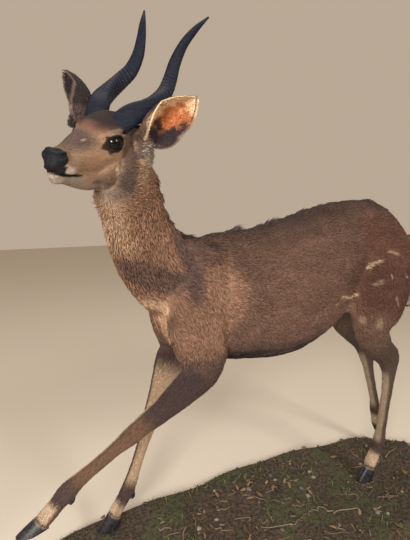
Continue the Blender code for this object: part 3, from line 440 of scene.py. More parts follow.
def hoof_paint():
    """Black horn with a fine grain down the hoof, paler at the coronet."""
    paint = Paint("hoof", Specular_IOR_Level=0.30)
    grain = paint.noise(260.0, 5.0, (1.0, 1.0, 0.25))
    colour = paint.colour((0.008, 0.009, 0.012), (0.040, 0.038, 0.040), grain.ramp(0.35, 0.75))
    colour = paint.colour(colour, (0.16, 0.12, 0.09), paint.stored("coronet", "Fac") * grain.ramp(0.2, 0.6))
    return paint.finish(colour, 0.30 + grain * 0.25, bump=grain, strength=0.35, distance=0.0008)


def closed_rows(rows):
    """Rows of rings of points, closed at both ends by the middle of the first and of the last ring."""
    first, last = (row.mean(1, keepdims=True) + 0 * row for row in (rows[:1], rows[-1:]))
    return np.concatenate([first, rows, last])


def hoof_half(foot, side):
    """One half of a hoof: rings from coronet to sole, bulging between and flat on the cleft. Returns the grid
    of points, and each ring's share of the way down."""
    coronet, down, sole, toe = FEET[foot]
    coronet, sole = np.array(coronet) + [0, 0, BASE_TOP], np.array(sole) + [0, 0, BASE_TOP]
    down, toe = unit(np.array(down, float)), unit(np.array(toe, float))
    forward = np.cross(ACROSS, down)
    forward = forward * np.sign(dot(forward, toe))
    rows, around = 22, 44
    share = np.linspace(0, 1, rows)[:, None]
    angle = (np.arange(around) + 0.5) * 2 * math.pi / around
    reach = np.cos(angle)
    pointed = np.where(np.sin(angle) > 0, np.abs(np.sin(angle)) ** 0.8 * (1 - 0.28 * np.maximum(reach, 0)),
                       0.10 * np.sin(angle) * np.abs(np.sin(angle)))
    high, low = (centre + ahead * (long_half * reach)[:, None]
                 + ACROSS * (side * (0.0014 + wide * np.maximum(pointed, -0.02)))[:, None]
                 for centre, ahead, (long_half, wide) in ((coronet + down * 0.0006, forward, CORONET_HALF),
                                                          (sole, toe, SOLE_HALF)))
    body = high[None] * (1 - share[..., None]) + low[None] * share[..., None]
    middle = body.mean(1, keepdims=True)
    growth = 0.006 * np.sin(share * 44) * step(0.05, 0.2, share)
    bulge = 1 + 0.055 * np.sin(math.pi * share) + growth
    bulge = bulge - 0.10 * step(0.96, 1.0, share) - 0.03 * step(0.05, 0.0, share)
    body = middle + (body - middle) * bulge[..., None]
    body[:, :, 1] = side * np.maximum(side * (body[:, :, 1] - coronet[1]), 0.0009) + coronet[1]
    return closed_rows(body), share[:, 0]


def build_hooves():
    """Two halves and two dewclaws for each foot. A dewclaw is a short tube: its rows say how far it lies behind
    the fetlock, down the leg and to its side, and its half width."""
    paint = hoof_paint()
    for foot in FEET:
        path = np.asarray(BONES[foot][0])
        fetlock, run = path[-2], unit(path[-1] - path[-2])
        behind = np.array([-run[2], 0, run[0]])
        for side, digit in ((1, "right"), (-1, "left")):
            points, share = hoof_half(foot, side)
            hoof = make(f"{foot}_{digit}_digit", points.reshape(-1, 3), grid(*points.shape[:2]), "hoof")
            edge = np.concatenate([[1.0], step(0.16, 0.0, share), [0.0]]).repeat(points.shape[1])
            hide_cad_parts(f"{foot}_hoof_{digit}")
            claw = [(*(fetlock + behind * b + run * d + ACROSS * side * s), w, w) for b, d, s, w in DEWCLAW]
            p, f = tube(claw, 16, 16)
            dewclaw = make(f"{foot}_{digit}_dewclaw", p, f, "hoof")
            for thing, coronet in ((hoof, edge), (dewclaw, np.zeros(len(p)))):
                attribute(thing, "coronet", coronet, "FLOAT")
                tidy(thing)
                thing.data.materials.append(paint)


build_hooves()

# Hide
# One tanned skin over the carved form, from the lips to the pasterns, glued down and sewn shut. It lies inside
# the solids by the depth of its coat. The head and the ears are worked out finely, and the rest of the form is
# taken from the solids.

# Upright sections: forward place, top, bottom, half width and how much narrower they are on top.
SKULL = [
    (-0.110, 0.004, -0.040, 0.026, 0.00),
    (-0.090, 0.027, -0.062, 0.042, 0.00),
    (-0.055, 0.040, -0.070, 0.047, 0.02),
    (-0.018, 0.042, -0.070, 0.045, 0.00),
    (0.012, 0.035, -0.066, 0.0395, 0.05),
    (0.040, 0.025, -0.060, 0.0325, 0.12),
    (0.070, 0.015, -0.052, 0.0265, 0.18),
    (0.092, 0.005, -0.048, 0.0240, 0.15),
    (0.110, 0.000, -0.045, 0.0232, 0.05),
    (0.122, -0.006, -0.041, 0.0205, 0.00),
    (0.129, -0.013, -0.034, 0.0140, 0.00),
]
JAW = [
    (-0.056, -0.030, -0.088, 0.024, 0.00),
    (-0.030, -0.028, -0.100, 0.029, 0.00),
    (0.006, -0.034, -0.098, 0.027, 0.00),
    (0.044, -0.036, -0.088, 0.0220, 0.00),
    (0.080, -0.035, -0.073, 0.0182, 0.00),
    (0.102, -0.035, -0.063, 0.0165, 0.00),
    (0.118, -0.036, -0.057, 0.0145, 0.00),
    (0.126, -0.039, -0.049, 0.0095, 0.00),
]
# The top of the throat: middle, half width and half depth of its sections.
THROAT = [
    (-0.398, -0.090, 0.972 + BASE_TOP, 0.046, 0.054),
    (-0.388, -0.079, 0.924 + BASE_TOP, 0.051, 0.069),
    (-0.368, -0.060, 0.866 + BASE_TOP, 0.054, 0.072),
    (-0.350, -0.044, 0.820 + BASE_TOP, 0.052, 0.068),
]
MOUTH = [(0.137, 0.0, -0.0325), (0.130, 0.0, -0.0350), (0.118, 0.0, -0.0390), (0.096, 0.0, -0.0450),
         (0.078, 0.0, -0.0500), (0.062, 0.0, -0.0535)]
NOSTRIL = [(0.1275, 0.0130, -0.0085), (0.1245, 0.0185, -0.0060), (0.1165, 0.0225, -0.0015)]
NOSTRIL_RIM = [(0.1225, 0.0220, 0.0035), (0.1300, 0.0120, 0.0005)]
EAR_MUSCLES = {
    1: ((-0.084, 0.052, -0.040), (0.029, 0.024, 0.046)),
    -1: ((-0.080, -0.040, -0.028), (0.026, 0.018, 0.034)),
}
EYE_SLIT = (math.radians(69), math.radians(41))


def to_head(p):
    """Forward, left and up of the point between the eyes, from places on the mount."""
    return (np.asarray(p) - HEAD_ORIGIN) @ HEAD_AXES


def mix(a, b, share):
    """From a to b by a share for each point."""
    share = np.asarray(share)[..., None]
    return np.asarray(a) * (1 - share) + np.asarray(b) * share


def noise(p, scale, seed=0):
    """Smooth value noise between -1 and 1: corner values of a cubic lattice, blended."""
    q = np.asarray(p) * scale + seed * 17.3
    cell = np.floor(q).astype(np.int64)
    t = q - cell
    t = t * t * (3 - 2 * t)
    total = 0.0
    for k in range(8):
        corner = np.array([k & 1, k >> 1 & 1, k >> 2 & 1])
        c = cell + corner
        value = c[..., 0] * 374761393 + c[..., 1] * 668265263 + c[..., 2] * 2147483647 + seed * 974711
        value = value & 0x7FFFFFFF
        value = (value ^ (value >> 13)) * 1274126177 & 0x7FFFFFFF
        value = (value ^ (value >> 16)) / 0x3FFFFFFF - 1.0
        total = total + value * np.prod(np.where(corner, t, 1 - t), axis=-1)
    return total


def to_path(p, path):
    """Distance from points to a polyline, and how far along it, in metres, each point's nearest place is."""
    path = np.asarray(path, float)
    best, along, start = np.full(len(p), 1e9), np.zeros(len(p)), 0.0
    for a, b in zip(path[:-1], path[1:]):
        run = b - a
        length = np.linalg.norm(run)
        t = np.clip(dot(p - a, run) / length**2, 0.0, 1.0)
        away = np.linalg.norm(p - a - t[:, None] * run, axis=1)
        near = away < best
        best, along = np.where(near, away, best), np.where(near, start + t * length, along)
        start += length
    return best, along


def surface(thing):
    """Points and point normals of an object."""
    points = np.empty(len(thing.data.vertices) * 3, np.float32)
    thing.data.vertices.foreach_get("co", points)
    normals = np.empty_like(points)
    thing.data.vertex_normals.foreach_get("vector", normals)
    return points.reshape(-1, 3).astype(float), normals.reshape(-1, 3).astype(float)


def corner_numbers(thing):
    """The corners of an object's faces as an array; the faces are all alike."""
    numbers = np.empty(len(thing.data.loops), np.int32)
    thing.data.loops.foreach_get("vertex_index", numbers)
    return numbers.reshape(len(thing.data.polygons), -1)


def barrel(rows, rings, around):
    """A skull or a jaw: upright sections of x, top, bottom, half width and how much narrower on top."""
    rows = [(x, 0.0, (top + low) / 2, half, (top - low) / 2, taper) for x, top, low, half, taper in rows]
    path = smooth_rows(rows, rings)
    angle = np.arange(around) * 2 * math.pi / around
    narrow = 1 - path[:, 5:6] * np.maximum(np.sin(angle), 0.0)
    points = np.stack([path[:, 0:1] + 0 * angle, path[:, 3:4] * np.cos(angle) * narrow,
                       path[:, 2:3] + path[:, 4:5] * np.sin(angle)], -1)
    ends = []
    for end, sign in ((0, -1.0), (-1, 1.0)):
        middle = points[end].mean(0)
        for lift in DOME:
            cap = middle + (points[end] - middle) * math.cos(lift)
            cap[:, 0] += sign * 0.6 * path[end, 3] * math.sin(lift)
            ends.append(cap)
    points = np.concatenate([ends[:len(DOME)][::-1], points, ends[len(DOME):]])
    return points.reshape(-1, 3), grid(rings + 2 * len(DOME), around)


def yaw(degrees):
    """A turn about the upright axis, as a matrix."""
    c, s = math.cos(math.radians(degrees)), math.sin(math.radians(degrees))
    return np.array([[c, -s, 0], [s, c, 0], [0, 0, 1]])


def together(parts):
    """The points and faces of several pieces as one pair of arrays."""
    points, faces, base = [], [], 0
    for p, f in parts:
        points.append(p)
        faces.append(f + base)
        base += len(p)
    return np.concatenate(points), np.concatenate(faces)


def fused(parts, voxel, passes):
    """Overlapping closed forms made one relaxed skin on an even grid; returns points, quads and normals."""
    thing = tidy(make("fused", *together(parts)))
    remesh = thing.modifiers.new("one_skin", "REMESH")
    remesh.mode = "VOXEL"
    remesh.voxel_size = voxel
    relax = thing.modifiers.new("relax", "SMOOTH")
    relax.factor = 0.5
    relax.iterations = passes
    graph = bpy.context.evaluated_depsgraph_get()
    made = bpy.data.objects.new("relaxed", bpy.data.meshes.new_from_object(thing.evaluated_get(graph)))
    points, normals = surface(made)
    result = points, corner_numbers(made), normals
    bpy.data.objects.remove(made)
    bpy.data.objects.remove(thing)
    return result


def head_forms():
    """Skull, jaw, cheeks, brows, lids, nose and lips as overlapping closed forms in the head's frame."""
    forms = [barrel(SKULL, 70, 56), barrel(JAW, 50, 40)]
    for side in (1, -1):
        seat, axes = eye_frame(side)
        forms += [
            ball(seat, (0.0208, 0.0190, 0.0194), axes),
            ball((-0.008, side * 0.029, 0.020), (0.024, 0.012, 0.0100), yaw(-24 * side)),
            ball((-0.024, side * 0.021, -0.058), (0.046, 0.0235, 0.040)),
            ball((-0.048, side * 0.012, -0.074), (0.040, 0.030, 0.036)),
            ball((0.022, side * 0.0275, -0.024), (0.036, 0.010, 0.010), yaw(-16 * side)),
            ball((-0.048, side * 0.028, 0.024), (0.024, 0.019, 0.016)),
            ball((-0.078, side * 0.044, 0.004), (0.019, 0.016, 0.017)),
            ball(*EAR_MUSCLES[side]),
            ball((0.117, side * 0.0135, -0.012), (0.0145, 0.0105, 0.0125)),
            ball((0.098, side * 0.0125, -0.034), (0.032, 0.0125, 0.0115)),
        ]
    forms += [
        ball((0.123, 0, -0.016), (0.010, 0.014, 0.014)),
        ball((0.112, 0, -0.051), (0.016, 0.0135, 0.0085)),
    ]
    return [(from_head(p), f) for p, f in forms]


def flesh_of_solids(names):
    """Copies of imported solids, welded and grown a little to close the gaps between them. Each triangle is
    written as a quad with a doubled corner."""
    parts = []
    for name in names:
        twin = bpy.data.objects.new("flesh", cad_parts[name].data.copy())
        bpy.context.scene.collection.objects.link(twin)
        work = bmesh.new()
        work.from_mesh(twin.data)
        bmesh.ops.remove_doubles(work, verts=work.verts, dist=1e-5)
        bmesh.ops.triangulate(work, faces=work.faces)
        work.to_mesh(twin.data)
        work.free()
        points, normals = surface(twin)
        faces = corner_numbers(twin)
        parts.append((points + normals * 0.0004, np.concatenate([faces, faces[:, 2:]], 1)))
        bpy.data.objects.remove(twin)
    return parts


def muzzle_details(p):
    """Presses the line of the mouth, the nostrils and the split of the nose into the head by bell curves of the
    distance to each; returns the moved points."""
    q = to_head(p)
    away, _ = to_path(q * [1, 0, 1], MOUTH)
    inward = unit(np.stack([-0.35 + 0 * q[:, 0], -np.sign(q[:, 1]) * step(0.002, 0.012, np.abs(q[:, 1])),
                            0 * q[:, 0]], 1))
    q = q + inward * (0.0040 * np.exp(-((away / 0.0020) ** 2)))[:, None]
    for side in (1, -1):
        hole, _ = to_path(q, np.array(NOSTRIL) * [1, side, 1])
        q = q + np.array([-0.72, -0.62 * side, -0.1]) * (0.0065 * np.exp(-((hole / 0.0030) ** 4)))[:, None]
        rim, _ = to_path(q, np.array(NOSTRIL_RIM) * [1, side, 1])
        q = q + np.array([0.2, 0.4 * side, 0.9]) * (0.0011 * np.exp(-((rim / 0.0035) ** 2)))[:, None]
    split = np.exp(-((q[:, 1] / 0.0011) ** 2)) * step(0.120, 0.128, q[:, 0])
    split = split * step(-0.004, -0.012, q[:, 2]) * step(-0.040, -0.030, q[:, 2])
    return from_head(q - np.array([0.0013, 0, 0]) * split[:, None])


def eye_angles(q, side):
    """Where points lie round an eyeball: angle along the slit, angle up, and distance from its middle."""
    seat, axes = eye_frame(side)
    r = (q - seat) @ axes
    away = np.linalg.norm(r, axis=1)
    theta = np.arccos(np.clip(r[:, 1] / np.maximum(away, 1e-9), -1, 1))
    turn = np.arctan2(r[:, 2], r[:, 0])
    return theta * np.cos(turn), theta * np.sin(turn), away


def sink_eyes(p):
    """Opens the skin over each eyeball; the lids cover the edge."""
    q = to_head(p)
    for side in (1, -1):
        a, b, away = eye_angles(q, side)
        seat, _ = eye_frame(side)
        inside = (a / (EYE_SLIT[0] * 1.12)) ** 2 + (b / (EYE_SLIT[1] * 1.16)) ** 2 < 1
        inside &= away < 0.024
        q[inside] = seat + (q[inside] - seat) * (0.0125 / away[inside])[:, None]
    return from_head(q)


# The section of a lid: how far out from the slit, as a share of it, and how high over the eyeball.
LID = [(1.62, -0.0040), (1.48, 0.0006), (1.34, 0.0022), (1.22, 0.0027), (1.12, 0.0027), (1.06, 0.0023),
       (1.02, 0.0016), (0.99, 0.0006), (0.975, -0.0012), (1.20, -0.0040)]


def eyelids(side):
    """Both lids of an eye as one closed band that rises from the skin, rolls over at the slit and ends on the
    eyeball: the lid's section carried round an almond given in angles."""
    seat, axes = eye_frame(side)
    around = 96
    t = np.arange(around) * 2 * math.pi / around
    upper = np.maximum(np.sin(t), 0)
    a = EYE_SLIT[0] * np.cos(t) * (1 + 0.12 * np.maximum(np.cos(t), 0) ** 6)
    b = EYE_SLIT[1] * np.sin(t) * np.abs(np.sin(t)) ** 0.10 * (1 - 0.22 * np.cos(t))
    scale, rise = np.array(LID)[:, :1], np.array(LID)[:, 1:]
    crease = 0.0010 * upper[None] * np.exp(-(((scale - 1.28) / 0.05) ** 2))
    heavy = 1 + 0.25 * upper[None] * (scale > 1)
    aa, bb = a[None] * scale, b[None] * scale
    theta, turn = np.hypot(aa, bb), np.arctan2(bb, aa)
    flat = axes[:, 0] * np.cos(turn)[..., None] + axes[:, 2] * np.sin(turn)[..., None]
    out = axes[:, 1] * np.cos(theta)[..., None] + flat * np.sin(theta)[..., None]
    points = seat + out * (EYE_RADIUS + rise * heavy - crease)[..., None]
    return from_head(points.reshape(-1, 3)), grid(len(LID), around)


EAR_TIPS = {1: (-0.122, 0.137, 0.091), -1: (-0.122, -0.145, 0.080)}
EAR_LENGTH, EAR_HALF_WIDTH, EAR_WALL = 0.126, 0.036, 0.0022
EAR_ROWS, EAR_COLUMNS = 44, 33


def ear_frame(side):
    """Root of an ear, and its axes as columns: the way it opens, across it, and along it."""
    root = np.array([-0.084, side * 0.051, 0.001])
    along = unit(np.array(EAR_TIPS[side]) - root)
    opening = np.array([0.72, side * 0.62, -0.20])
    opening = unit(opening - dot(opening, along) * along)
    return root, np.stack([opening, np.cross(along, opening), along], 1)


def ear_sheet(side, outer):
    """One face of a cupped ear: rolled into a tube at its root, opening into a pointed leaf, with ribs inside.
    Returns a grid of points."""
    u = np.linspace(0.0, 1.0, EAR_ROWS)[:, None]
    v = np.linspace(-1.0, 1.0, EAR_COLUMNS)[None, :]
    half_angle = np.radians(150 - 78 * np.minimum(u / 0.55, 1.0))
    width = 0.012 + 0.027 * np.sin(math.pi * u**0.90) ** 0.8
    width = width * np.sqrt(np.clip(1 - np.clip((u - 0.62) / 0.385, 0, 1) ** 3.0, 0, 1))
    radius = np.maximum(width, 0.0030) / np.where(half_angle > math.pi / 2, 1.0, np.sin(half_angle)) - 0.0006
    phi = v * half_angle
    inset = 0 if outer else EAR_WALL * (1 - 0.6 * v**4)
    ribs = 0 if outer else 0.0006 * np.cos(v * 9) * np.sin(math.pi * u)
    reach = np.maximum(radius - inset, 0.0010) - ribs
    x = reach * (1 - np.cos(phi)) + inset - 0.018 * np.sin(math.pi * u)
    points = np.stack([x, reach * np.sin(phi), EAR_LENGTH * u * (0.995 if outer else 0.98) + 0 * v], -1)
    root, turn = ear_frame(side)
    return from_head(points @ turn.T + root)


def ear_leaf(side):
    """An ear as a closed leaf: outer face, inner face and the edge between them."""
    points = closed_rows(np.concatenate([ear_sheet(side, True), ear_sheet(side, False)[:, ::-1]], 1))
    return points.reshape(-1, 3), grid(*points.shape[:2])


# The top of the trunk's form under the crest, and the nape: place of its middle at each height, and its reach.
BACK_LINE = [(-0.205, 0.830), (-0.140, 0.846), (-0.040, 0.852), (0.060, 0.874), (0.150, 0.902), (0.240, 0.922),
             (0.320, 0.930), (0.400, 0.930), (0.465, 0.906), (0.525, 0.858), (0.565, 0.820)]
NECK_LINE = [(-0.270, -0.010, 0.845, 0.135), (-0.346, -0.040, 0.870, 0.108), (-0.362, -0.053, 0.900, 0.095),
             (-0.368, -0.060, 0.930, 0.089), (-0.388, -0.079, 0.969, 0.085), (-0.402, -0.096, 1.010, 0.080)]
TRUNK_NODES = ("torso", "neck", "tail", "head",
               "foreleg_left", "foreleg_right", "hindleg_left", "hindleg_right")
TRUNK_VOXEL, LEG_VOXEL, HEAD_VOXEL = 0.0081, 0.0045, 0.0024
TRUNK_DEPTH, UPPER_LEG_DEPTH, SHANK_DEPTH, FACE_DEPTH = 0.0042, 0.0030, 0.0014, 0.0008


def sunk(p, n, depth):
    """Points moved inwards by the depth of the coat, with slight hollows."""
    return p - n * (depth + 0.0007 * noise(p, 32, 11))[:, None]


def kept(p, f, keep):
    """The faces that have a corner to keep, and only their points."""
    faces = f[keep[f].any(1)]
    mask = np.isin(np.arange(len(p)), faces)
    return p[mask], (np.cumsum(mask) - 1)[faces]


def trunk_hide():
    """Trunk, neck, tail and upper legs, up to the jaw. The locks that the solids carry are cut off along the
    back and behind the neck, where the crest's hair takes their place."""
    p, f, n = fused(flesh_of_solids([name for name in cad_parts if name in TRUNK_NODES]), TRUNK_VOXEL, 4)
    q = to_head(p)
    in_head = step(-0.118, -0.095, q[:, 2] + 0.62 * (q[:, 0] + 0.045)) * (np.linalg.norm(q, axis=1) < 0.17)
    shank = np.minimum.reduce([to_path(p, BONES[name][0][3:])[0] for name in BONES if "leg" in name])
    keep = (in_head < 0.9) & ~((shank < 0.034) & (p[:, 2] < 0.47))
    p = sunk(p, n, np.where(p[:, 2] < 0.52, UPPER_LEG_DEPTH, TRUNK_DEPTH + 0.004 * in_head))
    top = np.interp(p[:, 0], *np.array(BACK_LINE).T) - 0.0045 - 3.0 * p[:, 1] ** 2
    p[:, 2] = np.where((np.abs(p[:, 1]) < 0.045) & (p[:, 0] > -0.19), np.minimum(p[:, 2], top), p[:, 2])
    nape_x, nape_y, most = (np.interp(p[:, 2], *np.array(NECK_LINE)[:, [2, k]].T) for k in (0, 1, 3))
    foot = np.stack([nape_x, nape_y], 1)
    out = p[:, :2] - foot
    reach = np.linalg.norm(out, axis=1)
    rear = (p[:, 2] > 0.845) & (p[:, 0] > nape_x) & (p[:, 0] < -0.19) & (reach > most)
    p[rear, :2] = (foot + out * (most / np.maximum(reach, 1e-6))[:, None])[rear]
    return kept(p, f, keep)


def leg_hide():
    """The legs down to the pasterns, sinking into the trunk's hide at their tops."""
    legs = [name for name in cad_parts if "leg_" in name and "hoof" not in name]
    p, f, n = fused(flesh_of_solids(legs), LEG_VOXEL, 3)
    return kept(sunk(p, n, SHANK_DEPTH + 0.0040 * step(0.50, 0.57, p[:, 2])), f, p[:, 2] < 0.585)


def head_hide():
    """The head and the top of the throat, with mouth, nostrils and open eyes worked in."""
    p, f, n = fused(head_forms() + [tube(THROAT, 30, 40, (-0.5, 0.82, 0.2))], HEAD_VOXEL, 6)
    q = to_head(p)
    p = sunk(p, n, FACE_DEPTH + 0.0030 * step(-0.125, -0.170, q[:, 2] + 0.3 * q[:, 0]))
    return sink_eyes(muzzle_details(p)), f


hide_parts = {"body": trunk_hide(), "legs": leg_hide(), "head": head_hide()}
lids_and_ears = [eyelids(1), eyelids(-1), ear_leaf(1), ear_leaf(-1)]
plain_hide = make("hide_without_lids_and_ears", *together(hide_parts.values()))
hide_points, hide_normals = surface(plain_hide)
hide_faces = corner_numbers(plain_hide)
bpy.data.objects.remove(plain_hide)
skin = tidy(make("skin", *together([*hide_parts.values(), *lids_and_ears]), slot="hide"))
NOT_HIDE = ("eye", "horn", "base")
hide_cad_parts(*[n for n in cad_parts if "hoof" not in n and n.split("_")[0] not in NOT_HIDE])

# The markings are the same for the skin and, at its root, for each tuft.
BACK, FLANK, LOW_FLANK = (0.060, 0.034, 0.027), (0.142, 0.080, 0.057), (0.140, 0.081, 0.060)
# The underside's near black is painted shade: it darkens the faces that look down and the chest between the
# forelegs.
UNDERSIDE_SHADE = (0.018, 0.014, 0.016)
# The shoulder's colour is a painted highlight: a paler patch where light falls on the shoulder.
SHOULDER_HIGHLIGHT, HAUNCH, RUMP = (0.275, 0.155, 0.102), (0.086, 0.038, 0.026), (0.118, 0.052, 0.035)
NECK_SIDE, NECK_PALE, NECK_DARK = (0.245, 0.137, 0.088), (0.400, 0.262, 0.172), (0.078, 0.050, 0.047)
COLLAR, CREAM, DARK = (0.520, 0.355, 0.230), (0.460, 0.340, 0.230), (0.040, 0.028, 0.026)
FACE = (0.300, 0.192, 0.124)
WHITE_HAIR, FETLOCK, LIP_BLACK = (0.62, 0.56, 0.48), (0.070, 0.046, 0.040), (0.009, 0.008, 0.010)
# Patches are laid one over the other: colour, the places of a line or a spot, its radius and its strength.
BODY_PATCHES = [
    # Painted highlight on the shoulder.
    (SHOULDER_HIGHLIGHT, [(-0.165, 0.10, 0.715), (-0.215, 0.10, 0.640)], 0.075, 0.9),
    (RUMP, [(0.36, 0.07, 0.83), (0.50, 0.06, 0.78)], 0.07, 0.8),
    (HAUNCH, [(0.33, 0.11, 0.70), (0.46, 0.10, 0.66)], 0.090, 0.9),
]
NECK_PATCHES = [
    (NECK_DARK, [(-0.375, 0.060, 0.790), (-0.330, 0.074, 0.765), (-0.275, 0.078, 0.750)], 0.032, 0.72),
    (NECK_DARK, [(-0.262, 0.055, 0.850), (-0.236, 0.072, 0.789), (-0.236, 0.097, 0.725)], 0.021, 0.72),
]
BREAST_PATCHES = [
    (COLLAR, [(-0.335, 0.000, 0.700), (-0.320, 0.050, 0.700), (-0.290, 0.060, 0.680)], 0.018, 0.9),
    ((0.480, 0.300, 0.190), [(-0.300, 0.04, 0.640), (-0.285, 0.04, 0.600)], 0.034, 0.85),
]
FACE_PATCHES = [
    ((0.300, 0.165, 0.100), [(0.041, 0.031, -0.026), (0.010, 0.040, -0.026)], 0.0200, 0.45),
    ((0.215, 0.150, 0.112), [(0.006, 0.036, 0.0165), (-0.014, 0.042, 0.018)], 0.0052, 0.85),
    ((0.320, 0.190, 0.116), [(0.032, 0.027, 0.0105), (0.010, 0.035, 0.0165)], 0.0046, 0.85),
    ((0.150, 0.092, 0.065), [(0.010, 0.036, -0.072), (-0.010, 0.042, -0.076)], 0.0240, 0.75),
    ((0.105, 0.066, 0.050), [(-0.021, 0.056, -0.094), (0.000, 0.034, -0.096), (0.030, 0.029, -0.084)],
     0.021, 0.80),
]
CHEEK_PATCHES = [
    ((0.400, 0.290, 0.220), [(0.059, 0.0165, 0.0100), (0.069, 0.0140, 0.0085)], 0.0017, 0.7),
    ((0.520, 0.430, 0.360), [(-0.010, 0.044, -0.050), (-0.013, 0.044, -0.063)], 0.0046, 0.75),
    ((0.075, 0.049, 0.041), [(-0.048, 0.046, 0.010), (-0.036, 0.054, -0.026), (-0.031, 0.059, -0.052),
                             (-0.026, 0.057, -0.076)], 0.0175, 0.88),
    ((0.070, 0.047, 0.041), [(-0.060, 0.056, 0.008), (-0.056, 0.066, -0.022)], 0.0150, 0.80),
    ((0.420, 0.370, 0.320), [(-0.080, 0.071, -0.022), (-0.084, 0.075, -0.038)], 0.0165, 0.90),
]
UPPER_LIP = [(0.118, 0.0215, -0.0285), (0.106, 0.0235, -0.0330), (0.094, 0.0245, -0.0405)]
# Pale spots and streaks of the haunch and the flank: places as x and z, radius and strength.
HAUNCH_MARKS = [
    ([(0.305, 0.743), (0.325, 0.758), (0.346, 0.764)], 0.0042, 0.75),
    ([(0.376, 0.789), (0.394, 0.786), (0.410, 0.780)], 0.0036, 0.60),
    ([(0.377, 0.723)], 0.0060, 0.60),
    ([(0.446, 0.717)], 0.0055, 0.60),
    ([(0.313, 0.698), (0.344, 0.711)], 0.0055, 0.35),
    ([(0.209, 0.671), (0.251, 0.660), (0.279, 0.672)], 0.0042, 0.75),
    ([(0.194, 0.650)], 0.0050, 0.50),
    ([(0.284, 0.600)], 0.0110, 0.40),
    ([(0.337, 0.592)], 0.0160, 0.40),
    ([(0.400, 0.660), (0.412, 0.640)], 0.0050, 0.30),
]
BONE_NUMBER = {name: k for k, name in enumerate(BONES)}


def located(p):
    """For each point: the bone line nearest to it for the reach of its flesh, the share along that line, the
    angle round it, and the way the hair runs, which blends the runs of all the lines."""
    best = np.full(len(p), 1e9)
    line, share, angle = np.zeros(len(p), int), np.zeros(len(p)), np.zeros(len(p))
    flow, weight = np.zeros((len(p), 3)), np.zeros(len(p))
    for k, (path, radius) in enumerate(BONES.values()):
        path = np.asarray(path, float)
        total = np.linalg.norm(np.diff(path, axis=0), axis=1).sum()
        start, near_d = 0.0, np.full(len(p), 1e9)
        near_s, near_r, near_dir = np.zeros(len(p)), np.zeros((len(p), 3)), np.zeros((len(p), 3))
        for a, b in zip(path[:-1], path[1:]):
            run = b - a
            length = np.linalg.norm(run)
            t = np.clip(dot(p - a, run) / length**2, 0, 1)
            r = p - a - t[:, None] * run
            d = np.linalg.norm(r, axis=1)
            w = 1 / (d / radius + 0.05) ** 5
            flow += run / length * w[:, None]
            weight += w
            near = d < near_d
            near_d = np.where(near, d, near_d)
            near_s = np.where(near, start + t * length, near_s)
            near_r[near], near_dir[near] = r[near], run / length
            start += length
        took = near_d / radius < best
        best[took], line[took], share[took] = (near_d / radius)[took], k, (near_s / total)[took]
        aside = unit(np.array([0.0, 1.0, 0.0]) - near_dir * near_dir[:, 1:2])
        angle[took] = np.arctan2(dot(near_r, aside), dot(near_r, np.cross(near_dir, aside)))[took]
    return line, share, angle, flow / weight[:, None]


def near(p, places, radius):
    """1 near a polyline or a spot, 0 beyond the radius, with a ragged edge."""
    places = np.asarray(places, float)
    if len(places) == 1:
        places = np.concatenate([places, places + [1e-4, 0, 0]])
    away, _ = to_path(p, places)
    away = away + noise(p, 260, 5) * radius * 0.25 + noise(p, 90, 6) * radius * 0.2
    return step(radius * 1.25, radius * 0.65, away)


def patched(c, p, patches):
    """Colours with patches laid over them, one after the other."""
    for colour, places, radius, strength in patches:
        c = mix(c, colour, near(p, places, radius) * strength)
    return c


def foreleg_colour(front, outer, share, soft):
    """Dark outside and pale inside, brown below the knee, with a dark fetlock and a cream pastern in front."""
    c = mix((0.056, 0.036, 0.033), (0.410, 0.290, 0.190), step(0.15, -0.45, outer) * step(0.30, 0.40, share))
    c = mix(c, (0.150, 0.086, 0.052), step(0.50, 0.58, share) * step(-0.2, 0.4, outer) * 0.8)
    shin = step(0.55, 0.95, front) * step(0.50, 0.62, share) * step(-0.5, 0.2, outer)
    c = mix(c, (0.085, 0.055, 0.046), shin)
    c = mix(c, FETLOCK, step(0.80, 0.86, share) * step(0.95, 0.90, share))
    pastern = step(0.900, 0.935, share + 0.02 * soft) * step(0.985, 0.960, share)
    return mix(c, CREAM, pastern * step(0.10, 0.55, front + 0.3 * outer))


def hindleg_colour(front, outer, share, soft):
    """Brown, paler down the front of the shank and redder behind, with a dark fetlock and a cream pastern."""
    c = mix((0.128, 0.084, 0.060), (0.082, 0.056, 0.044), step(0.28, 0.42, share))
    c = mix(c, (0.300, 0.235, 0.160), step(0.25, 0.80, front) * step(0.50, 0.56, share))
    c = mix(c, (0.125, 0.068, 0.044), step(0.10, 0.70, -front) * step(0.48, 0.58, share))
    c = mix(c, FETLOCK, step(0.84, 0.88, share) * step(0.95, 0.91, share))
    pastern = step(0.90, 0.935, share + 0.02 * soft) * step(0.995, 0.97, share)
    return mix(c, CREAM, pastern * step(-0.35, 0.10, front + 0.6 * outer))


